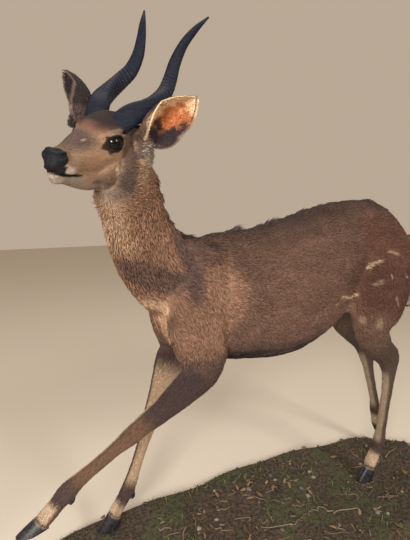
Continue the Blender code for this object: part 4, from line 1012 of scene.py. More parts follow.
def body_colour(p, n):
    """Colour of trunk, neck, tail and legs from height, side and distance along the bones."""
    line, share, _, _ = located(p)
    high = n[:, 2]
    side_p = p * [1, 0, 1] + np.abs(p * [0, 1, 0])
    soft = noise(p, 14, 1) * 0.5 + noise(p, 37, 2) * 0.5
    c = mix(FLANK, BACK, step(0.35, 0.95, high + 0.12 * soft))
    c = mix(c, LOW_FLANK, step(0.0, -0.45, high + 0.1 * soft))
    # Painted shade on the faces that look down under the trunk.
    underside_shade = step(-0.35, -0.78, high + 0.12 * soft) * step(-0.30, -0.20, p[:, 0]) * step(0.66, 0.58, p[:, 2])
    c = patched(mix(c, UNDERSIDE_SHADE, underside_shade), side_p, BODY_PATCHES)
    neck = step(0.130, 0.090, to_path(p, BONES["neck"][0])[0]) * step(-0.235, -0.275, p[:, 0])
    throat = step(0.0, 0.6, -(n[:, 0] * 0.95 + high * 0.3) + 0.25 * soft) * step(0.80, 0.86, p[:, 2])
    nape = step(0.80, 0.93, n[:, 0] * 0.93 + high * 0.25)
    c = mix(c, mix(mix(NECK_SIDE, NECK_PALE, throat), (0.055, 0.037, 0.032), nape), neck)
    c = patched(c, side_p, NECK_PATCHES)
    grain = noise(p * [1, 1, 0.28], 70, 41) * neck + noise(p * [0.35, 1, 1.3], 46, 42) * (1 - neck)
    c = c * (1 + 0.16 * grain + 0.14 * noise(p, 8, 43) * (1 - neck))[:, None]
    c = patched(c, side_p, BREAST_PATCHES)
    # Painted shade under the chest, between the forelegs.
    c = mix(c, UNDERSIDE_SHADE, near(p, [(-0.280, 0.0, 0.530), (-0.20, 0.0, 0.505)], 0.050) * 0.8)
    spine = step(-0.25, -0.36, p[:, 0]) * -0.05
    c = mix(c, DARK, np.exp(-((p[:, 1] - spine) / 0.011) ** 2) * step(0.55, 0.9, high) * 0.85)
    for legs, leg_colour, top, full in (("foreleg", foreleg_colour, 0.16, 0.34),
                                        ("hindleg", hindleg_colour, 0.22, 0.36)):
        for side, name in SIDES:
            leg = leg_colour(-n[:, 0], -side * n[:, 1], share, soft)
            on = line == BONE_NUMBER[f"{legs}_{name}"]
            c = np.where(on[:, None], mix(c, leg, step(top, full, share)), c)
    flank = step(0.3, 0.6, np.abs(n[:, 1])) * step(0.06, 0.08, np.abs(p[:, 1]))
    for places, radius, strength in HAUNCH_MARKS:
        ours = near(side_p * [1, 0, 1], [(x, 0.0, z) for x, z in places], radius)
        c = mix(c, CREAM, ours * strength * flank)
    tail = mix(mix(RUMP, DARK, step(0.5, 1.0, share)), WHITE_HAIR, step(0.1, -0.5, n[:, 0]))
    return np.where((line == BONE_NUMBER["tail"])[:, None], tail, c)


def nose_mask(q):
    """1 on the bare black nose pad, which wraps round the nostrils."""
    wide = np.abs(q[:, 1])
    pad = ((q[:, 0] - 0.124) / 0.0185) ** 2 + (wide / 0.0255) ** 2 + ((q[:, 2] + 0.0125) / 0.0200) ** 2
    lower = step(-0.0030, 0.0010, q[:, 2] + 0.0235 + (q[:, 0] - 0.124))
    return step(1.10, 0.90, pad + 0.02 * noise(q, 400, 8)) * step(0.104, 0.110, q[:, 0] + 0.15 * wide) * lower


def eye_corner(q, side, soft):
    """1 on the dark corner before an eye: a wedge of bare skin that narrows towards the nose."""
    seat, axes = eye_frame(side)
    r = (q - seat) @ axes
    ahead = r[:, 0] * np.sign(axes[0, 0])
    half = np.interp(ahead, (0.010, 0.014, 0.020, 0.030, 0.0375), (0.0125, 0.0118, 0.0090, 0.0048, -0.0005))
    middle = np.interp(ahead, (0.014, 0.030, 0.0375), (0.0000, 0.0004, -0.0010))
    wedge = step(0.0012, -0.0012, np.abs(r[:, 2] - middle) - half + 0.0004 * soft) * step(0.004, 0.008, ahead)
    return wedge * (q[:, 1] * side > 0.01) * (ahead < 0.042)


def head_colour(p):
    """Colour of the head: tan cheeks, dark blaze, pale chin and lips, black nose and lids."""
    q = to_head(p)
    f, wide, u = q[:, 0], np.abs(q[:, 1]), q[:, 2]
    fold = np.stack([f, wide, u], 1)
    soft = noise(p, 60, 3) * 0.6 + noise(p, 150, 4) * 0.4
    c = mix(FACE, (0.092, 0.062, 0.053), step(-0.016, 0.006, u + 0.004 * soft) * step(0.02, 0.06, f))
    c = mix(c, (0.140, 0.068, 0.048), step(0.010, 0.024, u + 0.003 * soft) * step(0.060, 0.025, f))
    c = mix(c, (0.032, 0.022, 0.021), step(0.016, 0.032, u + 0.1 * wide) * step(0.034, 0.006, f + 0.010 * soft))
    c = patched(c, fold, FACE_PATCHES)
    chin = step(-0.055, -0.064, u - 0.26 * (f - 0.09)) * step(-0.035, 0.02, f)
    c = mix(c, (0.300, 0.235, 0.190), chin * 0.85)
    mouth, along = to_path(q * [1, 0, 1], MOUTH)
    above = u > np.interp(-f, [-0.137, -0.118, -0.096, -0.062], [-0.0325, -0.039, -0.0450, -0.0535])
    c = mix(c, (0.440, 0.360, 0.310), near(fold, UPPER_LIP, 0.0068) * above * 0.95)
    c = mix(c, (0.280, 0.232, 0.195), step(0.020, 0.010, mouth) * (~above) * step(0.05, 0.08, f) * 0.9)
    c = patched(c, fold, CHEEK_PATCHES)
    for side in (1, -1):
        a, b, away = eye_angles(q, side)
        ring = np.hypot(a / EYE_SLIT[0], b / EYE_SLIT[1])
        c = mix(c, (0.009, 0.007, 0.008), step(1.45, 1.18, ring + 0.06 * soft) * step(0.030, 0.024, away))
    for side in (1, -1):
        c = mix(c, (0.016, 0.012, 0.012), eye_corner(q, side, soft) * 0.95)
    c = mix(c, (0.008, 0.009, 0.012), nose_mask(q))
    c = mix(c, LIP_BLACK, above * step(0.017, 0.013, mouth) * step(0.115, 0.121, f + 0.4 * (u + 0.03)))
    line = step(0.0036, 0.0024, mouth + 0.0018 * step(0.03, 0.08, along))
    return mix(c, LIP_BLACK, line * step(0.0815, 0.0785, along))


def hide_colour(p, n):
    """Colour of any point of the skin: the head's own markings run into the neck's behind the jaw."""
    q = to_head(p)
    on_head = step(-0.098, -0.080, q[:, 2] + 0.62 * (q[:, 0] + 0.045))
    on_head = on_head * step(1.3, 1.1, np.linalg.norm(q, axis=1) / 0.15)
    return mix(body_colour(p, n), head_colour(p), on_head)


def ear_colour(p, side, inner):
    """Colour of an ear: dark behind; rust and cream inside with a dark root and rear edge. The rust inside the
    left ear is partly its own colour and partly painted light shining through the ear from behind. The right
    ear, turned away from the light, is painted darker all over as painted shade."""
    root, turn = ear_frame(side)
    r = (to_head(p) - root) @ turn
    t, w = r[:, 2] / EAR_LENGTH, -side * r[:, 1] / EAR_HALF_WIDTH
    soft = noise(p, 120, 9) * 0.12
    # The right ear is painted darker than the left as painted shade: it is turned away from the light.
    if side < 0:
        back = mix((0.120, 0.075, 0.055), (0.026, 0.020, 0.020), step(0.05, 0.30, t + soft))
        streak = step(0.24, 0.08, np.abs(w - 0.62 + 0.5 * soft)) * step(0.10, 0.25, t) * step(0.85, 0.55, t)
        return mix(back, mix((0.036, 0.025, 0.027), (0.250, 0.170, 0.145), streak * 0.8), inner)
    back = mix((0.150, 0.095, 0.070), (0.042, 0.036, 0.037), step(0.10, 0.45, t + soft))
    # The rust inside is partly the ear's own colour and partly painted light shining through the ear from
    # behind.
    lobe = mix((0.036, 0.024, 0.028), (0.480, 0.165, 0.062), step(0.22, 0.40, t + soft))
    front = step(-0.05, 0.45, w + 2 * soft) * step(0.12, 0.32, t)
    cream = np.maximum(step(0.66, 0.98, t + soft) * 0.9, front * 0.85)
    lobe = mix(lobe, (0.980, 0.710, 0.450), cream)
    low = 0.55 * np.clip(1 - t / 0.55, 0, 1) - 0.94
    lobe = mix(lobe, (0.034, 0.024, 0.030), step(0.20, 0.0, w + soft - low) * step(0.80, 0.60, t))
    lobe = mix(lobe, (0.520, 0.380, 0.270), step(-1.04, -1.14, w + 0.3 * soft) * 0.8)
    return mix(back, np.clip(lobe, 0, 1), inner)


def colour_skin(thing):
    """Gives each point of the skin its colour and how bare and wet it looks."""
    p, n = surface(thing)
    colour = hide_colour(p, n)
    q = to_head(p)
    wet = nose_mask(q)
    for side in (1, -1):
        root, turn = ear_frame(side)
        r = (q - root) @ turn
        on_ear = (r[:, 2] > 0.012) & (r[:, 2] < 0.14) & (q[:, 1] * side > 0.055)
        on_ear &= np.hypot(r[:, 0], r[:, 1]) < 0.055
        inner = step(-0.2, 0.3, (n @ HEAD_AXES) @ turn[:, 0])
        colour = np.where(on_ear[:, None], ear_colour(p, side, inner), colour)
        a, b, away = eye_angles(q, side)
        ring = np.hypot(a / EYE_SLIT[0], b / EYE_SLIT[1])
        wet = np.maximum(wet, step(1.12, 1.02, ring) * (away < 0.024) * 0.45)
    wet = np.maximum(wet, step(0.003, 0.0015, to_path(q * [1, 0, 1], MOUTH)[0]) * 0.6)
    attribute(thing, "hide", np.clip(colour, 0, 1), "FLOAT_COLOR")
    attribute(thing, "wet", wet, "FLOAT")


def skin_paint():
    """Short hair lying flat, seen as fine streaks; pebbled and smoother where the skin is bare and wet."""
    paint = Paint("hide", Specular_IOR_Level=0.12)
    wet = paint.stored("wet", "Fac")
    streak = paint.noise(520.0, 4.0)
    pebble = paint.node("TexVoronoi", {"feature": "DISTANCE_TO_EDGE"}, Vector=paint.place(), Scale=620.0)
    colour = paint.scaled(paint.stored("hide"), 0.78 + streak * 0.40)
    return paint.finish(colour, 0.85 - wet * 0.26, bump=streak * (1.0 - wet) + pebble * wet, strength=0.35,
                        distance=0.0008)


colour_skin(skin)
skin.data.materials.append(skin_paint())

# Coat
# Hair in tapered tufts rooted in the skin, lying along the body: short on face and feet, longer and ruffled on
# neck and back. Each tuft takes the colour of the skin at its root.

draw = np.random.default_rng(11)
# Spacing of the tufts on each part of the hide, in the full model and in a draft.
COAT_SPACING = {"body": (0.0039, 0.0075), "legs": (0.0034, 0.0060), "head": (0.00245, 0.0042)}
TUFTS_TO_A_PIECE = 19000
# Tone of a tuft's seven points: darker at its root, paler at its tip.
HAIR_TONE = np.array([0.84, 0.84, 0.84, 1.00, 1.00, 1.08, 1.20])
# Where each bone line has its part of the coat's UV map: left, bottom, width and height.
CHARTS = {
    "head": (0.50, 0.25, 0.30, 0.25), "neck": (0.50, 0.00, 0.30, 0.25), "trunk": (0.00, 0.00, 0.50, 0.50),
    "tail": (0.80, 0.00, 0.20, 0.15), "foreleg_left": (0.00, 0.50, 0.50, 0.25),
    "foreleg_right": (0.50, 0.50, 0.50, 0.25), "hindleg_left": (0.00, 0.75, 0.50, 0.25),
    "hindleg_right": (0.50, 0.75, 0.50, 0.25), "ears": (0.80, 0.15, 0.20, 0.35),
}


def scatter(points, faces, spacing):
    """Even random places on a mesh: about three candidates for each cell, thinned to one a cell. Returns the
    places, their faces and the weights of the faces' corners."""
    corners = points[faces]
    area = 0.5 * np.linalg.norm(np.cross(corners[:, 2] - corners[:, 0], corners[:, 3] - corners[:, 1]), axis=1)
    count = int(area.sum() / spacing**2 * 2.6)
    face = np.searchsorted(np.cumsum(area) / area.sum(), draw.random(count)).clip(0, len(faces) - 1)
    u, v = draw.random((2, count, 1))
    weights = np.concatenate([(1 - u) * (1 - v), u * (1 - v), u * v, (1 - u) * v], 1)
    place = (corners[face] * weights[..., None]).sum(1)
    cell = np.floor(place / spacing).astype(np.int64)
    number = cell[:, 0] * 73856093 ^ cell[:, 1] * 19349663 ^ cell[:, 2] * 83492791
    _, first = np.unique(number, return_index=True)
    return place[first], face[first], weights[first]


def on_mesh(values, faces, face, weights):
    """Values of the points, blended at places on the faces."""
    return (values[faces[face]] * weights[..., None]).sum(1)


def blades(root, normal, lie, length, width, lift, sink=0.0008):
    """One closed tapered tuft at each root: three-sided at the root and the middle, pointed at the tip."""
    across = unit(np.cross(normal, lie))
    length, width, lift = length[:, None], width[:, None], lift[:, None]
    middle = root + lie * length * 0.5 + normal * (length * lift * 0.62)
    aside = draw.normal(0, 0.08, (len(root), 1))
    tip = root + lie * length + normal * (length * lift * 0.9) + across * length * aside
    start = root - normal * sink
    points = np.stack([
        start - across * width * 0.5, start + across * width * 0.5, start + normal * width * 0.45,
        middle - across * width * 0.42, middle + across * width * 0.42, middle + normal * width * 0.35, tip], 1)
    faces = np.array([(0, 2, 1), (0, 1, 4), (0, 4, 3), (1, 2, 5), (1, 5, 4), (2, 0, 3), (2, 3, 5),
                      (3, 4, 6), (4, 5, 6), (5, 3, 6)])
    index = faces[None] + (np.arange(len(root)) * 7)[:, None, None]
    return points, index.reshape(-1, 3)


def coat_material():
    """Hair: the tuft's own colour with fine streaks, half matt."""
    paint = Paint("coat", roughness=0.62, Specular_IOR_Level=0.25)
    fine = paint.noise(900.0, 2.0)
    colour = paint.scaled(paint.stored("hide"), 0.80 + fine * 0.40)
    return paint.finish(colour, 0.50 + fine * 0.25, bump=fine, strength=0.3, distance=0.0006)


coat_paint = coat_material()


def coat_piece(name, root, normal, lie, length, width, lift, colour, uv, slot="hide", **more):
    """One object of tufts with their colour and their place on the skin's unwrap."""
    points, faces = blades(root, normal, lie, length, width, lift, **more)
    thing = make(name, points.reshape(-1, 3), faces, slot)
    tone = colour[:, None] * HAIR_TONE[None, :, None] * (1 + draw.normal(0, 0.13, (len(root), 1, 1)))
    attribute(thing, "hide", np.clip(tone, 0, 1).reshape(-1, 3), "FLOAT_COLOR")
    patch = np.array([(-1, -1), (1, -1), (0, -0.6), (-0.8, 0.2), (0.8, 0.2), (0, 0.3), (0, 1)]) * 0.0015
    spread = (uv[:, None] + patch[None]).reshape(-1, 2)
    layer = thing.data.uv_layers.new(name="OFBake")
    layer.data.foreach_set("uv", spread[faces.ravel()].astype(np.float32).ravel())
    thing.data.materials.append(coat_paint)
    return thing


def unwrap(p):
    """Place of each point on the skin's unwrap: along its bone line and round it, in that line's own chart."""
    line, share, angle, _ = located(p)
    boxes = np.array([CHARTS[name] for name in BONES])[line]
    return np.stack([boxes[:, 0] + boxes[:, 2] * (0.03 + 0.94 * share),
                     boxes[:, 1] + boxes[:, 3] * (0.03 + 0.94 * (angle / (2 * math.pi) + 0.5))], 1)


def hair_lie(p, n, flow):
    """The way the hair runs: along the body and down its sides, back from the nose, with ruffles."""
    q = to_head(p)
    lie = flow + np.array([0, 0, -0.55]) * (step(0.95, 0.3, n[:, 2]) * step(0.50, 0.60, p[:, 2]))[:, None]
    back = -HEAD_AXES[:, 0] * 0.9 - HEAD_AXES[:, 2] * 0.25
    on_head = step(0.165, 0.125, np.linalg.norm(q + [0.0, 0, 0.02], axis=1))
    lie = mix(lie, np.broadcast_to(back, p.shape), on_head)
    ruffle = np.stack([noise(p, 26, 21), noise(p, 26, 22), noise(p, 26, 23)], 1) * 0.27
    ruffle += np.stack([noise(p, 70, 24), noise(p, 70, 25), noise(p, 70, 26)], 1) * 0.15
    calm = step(0.10, 0.17, np.linalg.norm(q, axis=1)) * step(0.42, 0.55, p[:, 2])
    lie = unit(lie) + ruffle * (0.25 + 0.75 * calm)[:, None] + draw.normal(0, 0.10, p.shape)
    return unit(lie - dot(lie, n)[:, None] * n)


def is_bare(q):
    """Where no tuft grows: on the nose pad, the lips and the rims of the eyes."""
    mouth, _ = to_path(q * [1, 0, 1], MOUTH)
    bare = (nose_mask(q) > 0.35) | (mouth < 0.0030) | ((mouth < 0.014) & (q[:, 0] > 0.119) & (q[:, 2] > -0.040))
    for side in (1, -1):
        a, b, away = eye_angles(q, side)
        bare |= (np.hypot(a / EYE_SLIT[0], b / EYE_SLIT[1]) < 1.30) & (away < 0.032)
    return bare


def tuft_sizes(part, p, q):
    """Length, width and lift of the tufts on one part of the hide."""
    if part == "body":
        ruff = step(0.36, 0.22, np.abs(p[:, 0] + 0.33)) * step(0.60, 0.70, p[:, 2])
        return 0.0155 + 0.0065 * ruff, np.full(len(p), 0.0025), 0.11 + 0.03 * ruff
    if part == "legs":
        top = step(0.35, 0.55, p[:, 2])
        return 0.0080 + 0.0050 * top, np.full(len(p), 0.0018), np.full(len(p), 0.12)
    far = step(0.05, 0.13, np.linalg.norm(q, axis=1)) * step(0.06, -0.02, q[:, 0])
    return 0.0045 + 0.0110 * far, 0.0010 + 0.0008 * far, 0.08 + 0.09 * far


def grow_coat():
    """Tufts over the body, legs and head, in pieces of fewer than 200,000 triangles."""
    start = 0
    for name, (_, faces) in hide_parts.items():
        part = hide_faces[start:start + len(faces)]
        start += len(faces)
        p, face, weights = scatter(hide_points, part, COAT_SPACING[name][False])
        n = unit(on_mesh(hide_normals, part, face, weights))
        q = to_head(p)
        hairy = ~is_bare(q)
        p, n, q = p[hairy], n[hairy], q[hairy]
        length, width, lift = tuft_sizes(name, p, q)
        lie = hair_lie(p, n, located(p)[3])
        length = length * draw.uniform(0.75, 1.25, len(p))
        lift = lift * draw.uniform(0.5, 1.6, len(p))
        tufts = (p, n, lie, length, width, lift, hide_colour(p, n), unwrap(p))
        pieces = math.ceil(len(p) / TUFTS_TO_A_PIECE)
        for j, chosen in enumerate(np.array_split(np.argsort(p[:, 0]), pieces)):
            coat_piece(f"coat_{name}_{j + 1}", *(values[chosen] for values in tufts))


grow_coat()

# Crest
# Long dark hair in a narrow line down the nape and the spine, standing up in ragged wisps at the withers. It
# grows from the skin, where the two sides of the coat meet.

CREST_TUFTS = 2600
# Where the wisps stand along the back, how far each reaches and how much it stands up.
CREST_WISPS = ((-0.085, 0.020, 1.0), (0.035, 0.018, 0.8), (-0.015, 0.010, 0.6))


def grow_crest():
    """Tufts where upright rays meet the spine and level rays meet the nape."""
    count = CREST_TUFTS
    x = draw.uniform(-0.335, 0.545, count)
    middle = np.interp(x, [-0.335, -0.30, -0.26, -0.20], [-0.062, -0.040, -0.015, 0.0])
    y = middle + draw.normal(0, 0.0035, count)
    hits = [skin.ray_cast(Vector((a, b, 1.6)), Vector((0, 0, -1))) for a, b in zip(x, y)]
    z = draw.uniform(0.850, 0.985, count // 3)
    foot = np.stack([np.interp(z, *np.array(NECK_LINE)[:, [2, k]].T) for k in (0, 1)], 1)
    bearing = np.radians(np.interp(z, [0.85, 0.99], [-2.0, 8.0])) + draw.normal(0, 0.16, len(z))
    for (fx, fy), height, turn in zip(foot, z, bearing):
        out = Vector((math.cos(turn), math.sin(turn), 0.0))
        hits.append(skin.ray_cast(Vector((fx, fy, height)) + out * 0.3, -out))
    hits = [(*place, *normal) for found, place, normal, _ in hits if found]
    p, n = np.array(hits)[:, :3], np.array(hits)[:, 3:]
    good = (n[:, 2] > 0.15) | (n[:, 0] > 0.3)
    p, n, x = p[good], n[good], p[good, 0]
    nape = step(-0.20, -0.27, x)
    back = np.stack([1 + 0 * x, draw.normal(0, 0.12, len(x)), 0 * x], 1)
    lie = unit(back + nape[:, None] * np.array([-0.4, 0.3, -2.0]))
    lie = unit(lie - dot(lie, n)[:, None] * n)
    rag = 0.35 * (noise(np.stack([x, 0 * x, 0 * x], 1), 45, 31) > 0.35)
    for place, reach, strength in CREST_WISPS:
        rag = rag + strength * np.exp(-(((x - place) / reach) ** 2))
    length = 0.018 + 0.003 * nape + 0.012 * rag
    lift = 0.18 - 0.06 * nape + 0.40 * rag
    colour = np.broadcast_to(DARK, p.shape) * (1 + 0.8 * rag)[:, None]
    coat_piece("coat_crest", p, n, lie, length * draw.uniform(0.7, 1.2, len(x)), np.full(len(x), 0.0020),
               lift * draw.uniform(0.6, 1.3, len(x)), colour, unwrap(p))


grow_crest()

# Tail
# The brush of the tail: dark hair outside and white hair beneath, twice as long as the body's. It hangs from
# the skin that is drawn over the tail's core.

TAIL_TUFTS = 5200


def grow_tail():
    """Tufts round the tail's bone line, spread by angle and, more densely towards the tip, by length."""
    count = TAIL_TUFTS
    path = np.asarray(BONES["tail"][0])
    t = draw.uniform(0, 1, count) ** 0.9
    along = np.interp(t, [0, 0.25, 0.6, 1.0], [0, 1, 2, 3])
    i = np.minimum(along.astype(int), 2)
    centre = path[i] + (path[i + 1] - path[i]) * (along - i)[:, None]
    run = unit(path[i + 1] - path[i])
    turn = draw.uniform(-math.pi, math.pi, count)[:, None]
    n = unit(ACROSS * np.sin(turn) + np.cross(run, ACROSS) * np.cos(turn))
    p = centre + n * (0.012 + 0.004 * np.sin(math.pi * t))[:, None]
    lie = unit(run + n * 0.16 + draw.normal(0, 0.08, p.shape))
    lie = unit(lie - dot(lie, n)[:, None] * n)
    colour = mix(mix(RUMP, DARK, t), (0.62, 0.57, 0.50), step(0.15, -0.35, n[:, 0]))
    coat_piece("coat_tail", p, n, lie, draw.uniform(0.028, 0.046, count), np.full(count, 0.0022),
               draw.uniform(0.05, 0.22, count), colour, unwrap(p))


grow_tail()

# Ear hair
# Short hair on both faces of each ear, a pale fringe on its edges, and long pale hairs inside its front edge,
# all of it the ear's own and brushed towards the tip.

# How many tufts of each kind an ear has, and how long they are.
EAR_HAIR = {"back": (3300, 0.007), "inside": (2100, 0.006), "edge": (1400, 0.009), "tuft": (420, 0.019)}
# How pale the fringe and the long hairs are, by side: the right ear's are darker as painted shade, since it is
# turned away from the light.
EAR_FRINGE, EAR_TUFT = {1: 0.60, -1: 0.10}, {1: 0.8, -1: 0.25}


def on_sheet(sheet, u, v):
    """Places on a grid of points at shares along it and from -1 to 1 across it, with the ways along and across
    the grid there and the middle of its row."""
    r, k = u * (EAR_ROWS - 1.001), (v + 1) / 2 * (EAR_COLUMNS - 1.001)
    i, j = r.astype(int), k.astype(int)
    a, b = (r - i)[:, None], (k - j)[:, None]
    low = sheet[i, j] * (1 - a) + sheet[i + 1, j] * a
    high = sheet[i, j + 1] * (1 - a) + sheet[i + 1, j + 1] * a
    along, across = unit(sheet[i + 1, j] - sheet[i, j]), unit(sheet[i, j + 1] - sheet[i, j])
    return low * (1 - b) + high * b, along, across, sheet.mean(1)[i]


def ear_tufts(side, kind):
    """Tufts of one kind on one ear, as coat_piece takes them."""
    count, size = EAR_HAIR[kind]
    count = count
    outer = kind in ("back", "edge")
    u, v = draw.uniform(0.04, 0.99, count), draw.uniform(-1, 1, count)
    if kind == "edge":
        v = np.sign(v) * draw.uniform(0.965, 1.0, count)
    if kind == "tuft":
        v = -side * draw.uniform(0.72, 0.98, count)
        u = draw.uniform(0.10, 0.50, count)
    p, up, across, cup = on_sheet(ear_sheet(side, outer), u, v)
    n = unit(np.cross(up, across))
    n = n * np.sign(dot(n, p - cup) * (1 if outer else -1))[:, None]
    lie = unit(up + across * 0.25 * draw.normal(0, 1, (count, 1)))
    if kind == "edge":
        lie = unit(up * 0.8 + across * np.sign(v)[:, None] * 0.9)
    if kind == "tuft":
        lie = unit(up * 0.8 - across * np.sign(v)[:, None] * 0.9 + n * 0.5)
    length = size * draw.uniform(0.7, 1.2, count)
    colour = ear_colour(p, side, np.full(count, 0.0 if kind == "back" else 1.0))
    if kind == "edge":
        colour = mix(colour, (0.66, 0.46, 0.30), EAR_FRINGE[side] * step(-2.2, 0.4, -v * side))
    if kind == "tuft":
        colour = mix(colour, (0.68, 0.50, 0.34), np.full(count, EAR_TUFT[side]))
    left, bottom, width, height = CHARTS["ears"]
    uv = np.stack([left + width * (0.03 + 0.94 * u),
                   bottom + height * (0.5 if side < 0 else 0.0) + height * 0.45 * (v / 2 + 0.52)], 1)
    return p, n, lie, length, np.full(count, 0.0012), draw.uniform(0.05, 0.25, count), colour, uv


for side, name in SIDES:
    kinds = [ear_tufts(side, kind) for kind in EAR_HAIR]
    coat_piece(f"coat_ear_{name}", *map(np.concatenate, zip(*kinds)), slot="ear_skin", sink=0.0004)

# Lashes and whiskers
# Stiff black lashes along the upper lids and fine whiskers on the upper lip. They stay in the skin when it is
# tanned.

LASHES, WHISKERS = 90, 18


def build_lashes():
    """Lashes fan out from the lid; whiskers point down and outwards from the lip."""
    dark = Paint("lash", roughness=0.4)
    dark.finish(dark.colour((0.012, 0.010, 0.010), (0.05, 0.04, 0.035), dark.noise(300.0)))
    roots, normals, lies, lengths = [], [], [], []
    for side in (1, -1):
        seat, axes = eye_frame(side)
        t = draw.uniform(0.12 * math.pi, 0.90 * math.pi, LASHES)
        a, b = EYE_SLIT[0] * np.cos(t) * 1.03, EYE_SLIT[1] * np.sin(t) * 1.05
        theta, turn = np.hypot(a, b), np.arctan2(b, a)
        flat = axes[:, 0] * np.cos(turn)[:, None] + axes[:, 2] * np.sin(turn)[:, None]
        out = axes[:, 1] * np.cos(theta)[:, None] + flat * np.sin(theta)[:, None]
        roots.append(from_head(seat + out * (EYE_RADIUS + 0.0030)))
        lies.append(unit(out * 0.9 + flat * 0.25 + draw.normal(0, 0.08, out.shape)) @ HEAD_AXES.T)
        normals.append(np.broadcast_to(axes[:, 2], out.shape) @ HEAD_AXES.T)
        lengths.append(np.full(LASHES, 0.0075))
        f, spread = draw.uniform(0.090, 0.118, WHISKERS), draw.uniform(0, 1, WHISKERS)
        place = np.stack([f, side * (0.0225 - 0.25 * (f - 0.085)), -0.030 - 0.008 * spread], 1)
        roots.append(from_head(place))
        lies.append(unit(np.stack([0.1 + 0 * f, side * 0.8 + 0 * f, -0.45 + 0 * f], 1)
                         + draw.normal(0, 0.2, place.shape)) @ HEAD_AXES.T)
        normals.append(np.tile(HEAD_AXES[:, 2], (WHISKERS, 1)))
        lengths.append(draw.uniform(0.008, 0.015, WHISKERS))
    root, normal, lie, length = (np.concatenate(v) for v in (roots, normals, lies, lengths))
    normal = unit(normal - dot(normal, lie)[:, None] * lie)
    points, faces = blades(root, normal, lie, length, np.full(len(root), 0.0004), np.full(len(root), 0.12),
                           sink=0.001)
    thing = make("lashes_and_whiskers", points.reshape(-1, 3), faces, "hide")
    thing.data.materials.append(dark.made)


build_lashes()

# Soil
# A low base of modelled soil over a board, painted dark. Its edge is ragged and rolls down to the floor, and it
# lies level under each standing foot.

BASE_MIDDLE, BASE_HALF = (0.055, -0.075), (0.715, 0.235)
BASE_ROLL, BASE_RIM = 0.86, 0.010
STANDING = ((-0.400, 0.069), (0.388, -0.088), (0.630, 0.072))


def ground_height(x, y):
    """Height of the soil: a low swell, level under each standing foot."""
    swell = 0.006 * np.sin(9 * x + 2) * np.cos(14 * y) + 0.004 * np.sin(23 * x + 11 * y)
    p = np.stack([x, y, 0 * x], -1)
    z = BASE_TOP + swell
    for pad_x, pad_y in STANDING:
        level = np.clip((np.hypot(x - pad_x, y - pad_y) / 0.085 - 0.75) / 0.5, 0, 1)
        z = BASE_TOP + (z - BASE_TOP) * level
    return z + 0.0022 * noise(p, 55, 41) + 0.0012 * noise(p, 160, 42) - 0.0020


def on_base(angle, share):
    """Places on the soil at a share of the way from its middle to its edge, a ragged rounded rectangle."""
    ragged = 1 + 0.030 * np.sin(5 * angle + 1.1) + 0.022 * np.sin(9 * angle + 0.4) + 0.012 * np.sin(17 * angle)
    squared = 1 / (np.abs(np.cos(angle)) ** 3.2 + np.abs(np.sin(angle)) ** 3.2) ** (1 / 3.2)
    x = BASE_MIDDLE[0] + share * (BASE_HALF[0] * ragged * squared * np.cos(angle))
    y = BASE_MIDDLE[1] + share * (BASE_HALF[1] * ragged * squared * np.sin(angle))
    z = ground_height(x, y)
    fall = np.clip((share - BASE_ROLL) / (1 - BASE_ROLL), 0, 1) ** 1.6
    return np.stack([x, y, z - (z - BASE_RIM) * fall], -1)


def soil_paint():
    """Dark soil with crumbs, greener in patches."""
    paint = Paint("soil")
    broad, fine = paint.noise(9.0, 5.0), paint.noise(120.0, 6.0)
    crumbs = paint.node("TexVoronoi", Vector=paint.place(), Scale=240.0)
    colour = paint.colour((0.020, 0.014, 0.010), (0.085, 0.055, 0.034), fine.ramp(0.35, 0.70))
    colour = paint.colour(colour, (0.050, 0.062, 0.022), broad.ramp(0.50, 0.62) * fine.ramp(0.30, 0.60) * 0.75)
    colour = paint.colour(colour, (0.150, 0.105, 0.065), crumbs.ramp(0.30, 0.05) * broad.ramp(0.62, 0.40) * 0.6)
    return paint.finish(colour, 0.95, bump=fine * 0.6 + crumbs * 0.4, strength=0.8, distance=0.003)


def build_ground():
    """The soil from its middle to its edge, and the flat underside on the floor."""
    rings, around = 80, 300
    share = (np.linspace(0, 1, rings) ** 0.8)[:, None]
    top = on_base(np.arange(around)[None, :] * 2 * math.pi / around, share)
    low = top[-1:] * [1, 1, 0]
    points = np.concatenate([top, low, np.broadcast_to([*BASE_MIDDLE, 0.0], low.shape)])
    soil = tidy(make("ground_soil", points.reshape(-1, 3), grid(rings + 2, around), "ground"))
    soil.data.materials.append(soil_paint())
    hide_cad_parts("base_ground")


build_ground()

# Leaves
# Small dry leaves, curled as they dried and glued to the soil every way. Each is a thin closed blade with a
# raised midrib.

LEAVES = 170


def on_ground(count, reach=0.94):
    """Random places on the base, clear of its edge."""
    angle = draw.uniform(0, 2 * math.pi, count)
    return on_base(angle, np.sqrt(draw.uniform(0, 1, count)) * reach)


def litter_paint(name, scale, detail, dark, light, roughness, strength, distance):
    """A dry, grainy finish in the colours stored on the mesh, from a dark to a light factor."""
    paint = Paint(name)
    grain = paint.noise(scale, detail)
    colour = paint.scaled(paint.stored("leaf"), dark + grain * light)
    return paint.finish(colour, roughness, bump=grain, strength=strength, distance=distance)


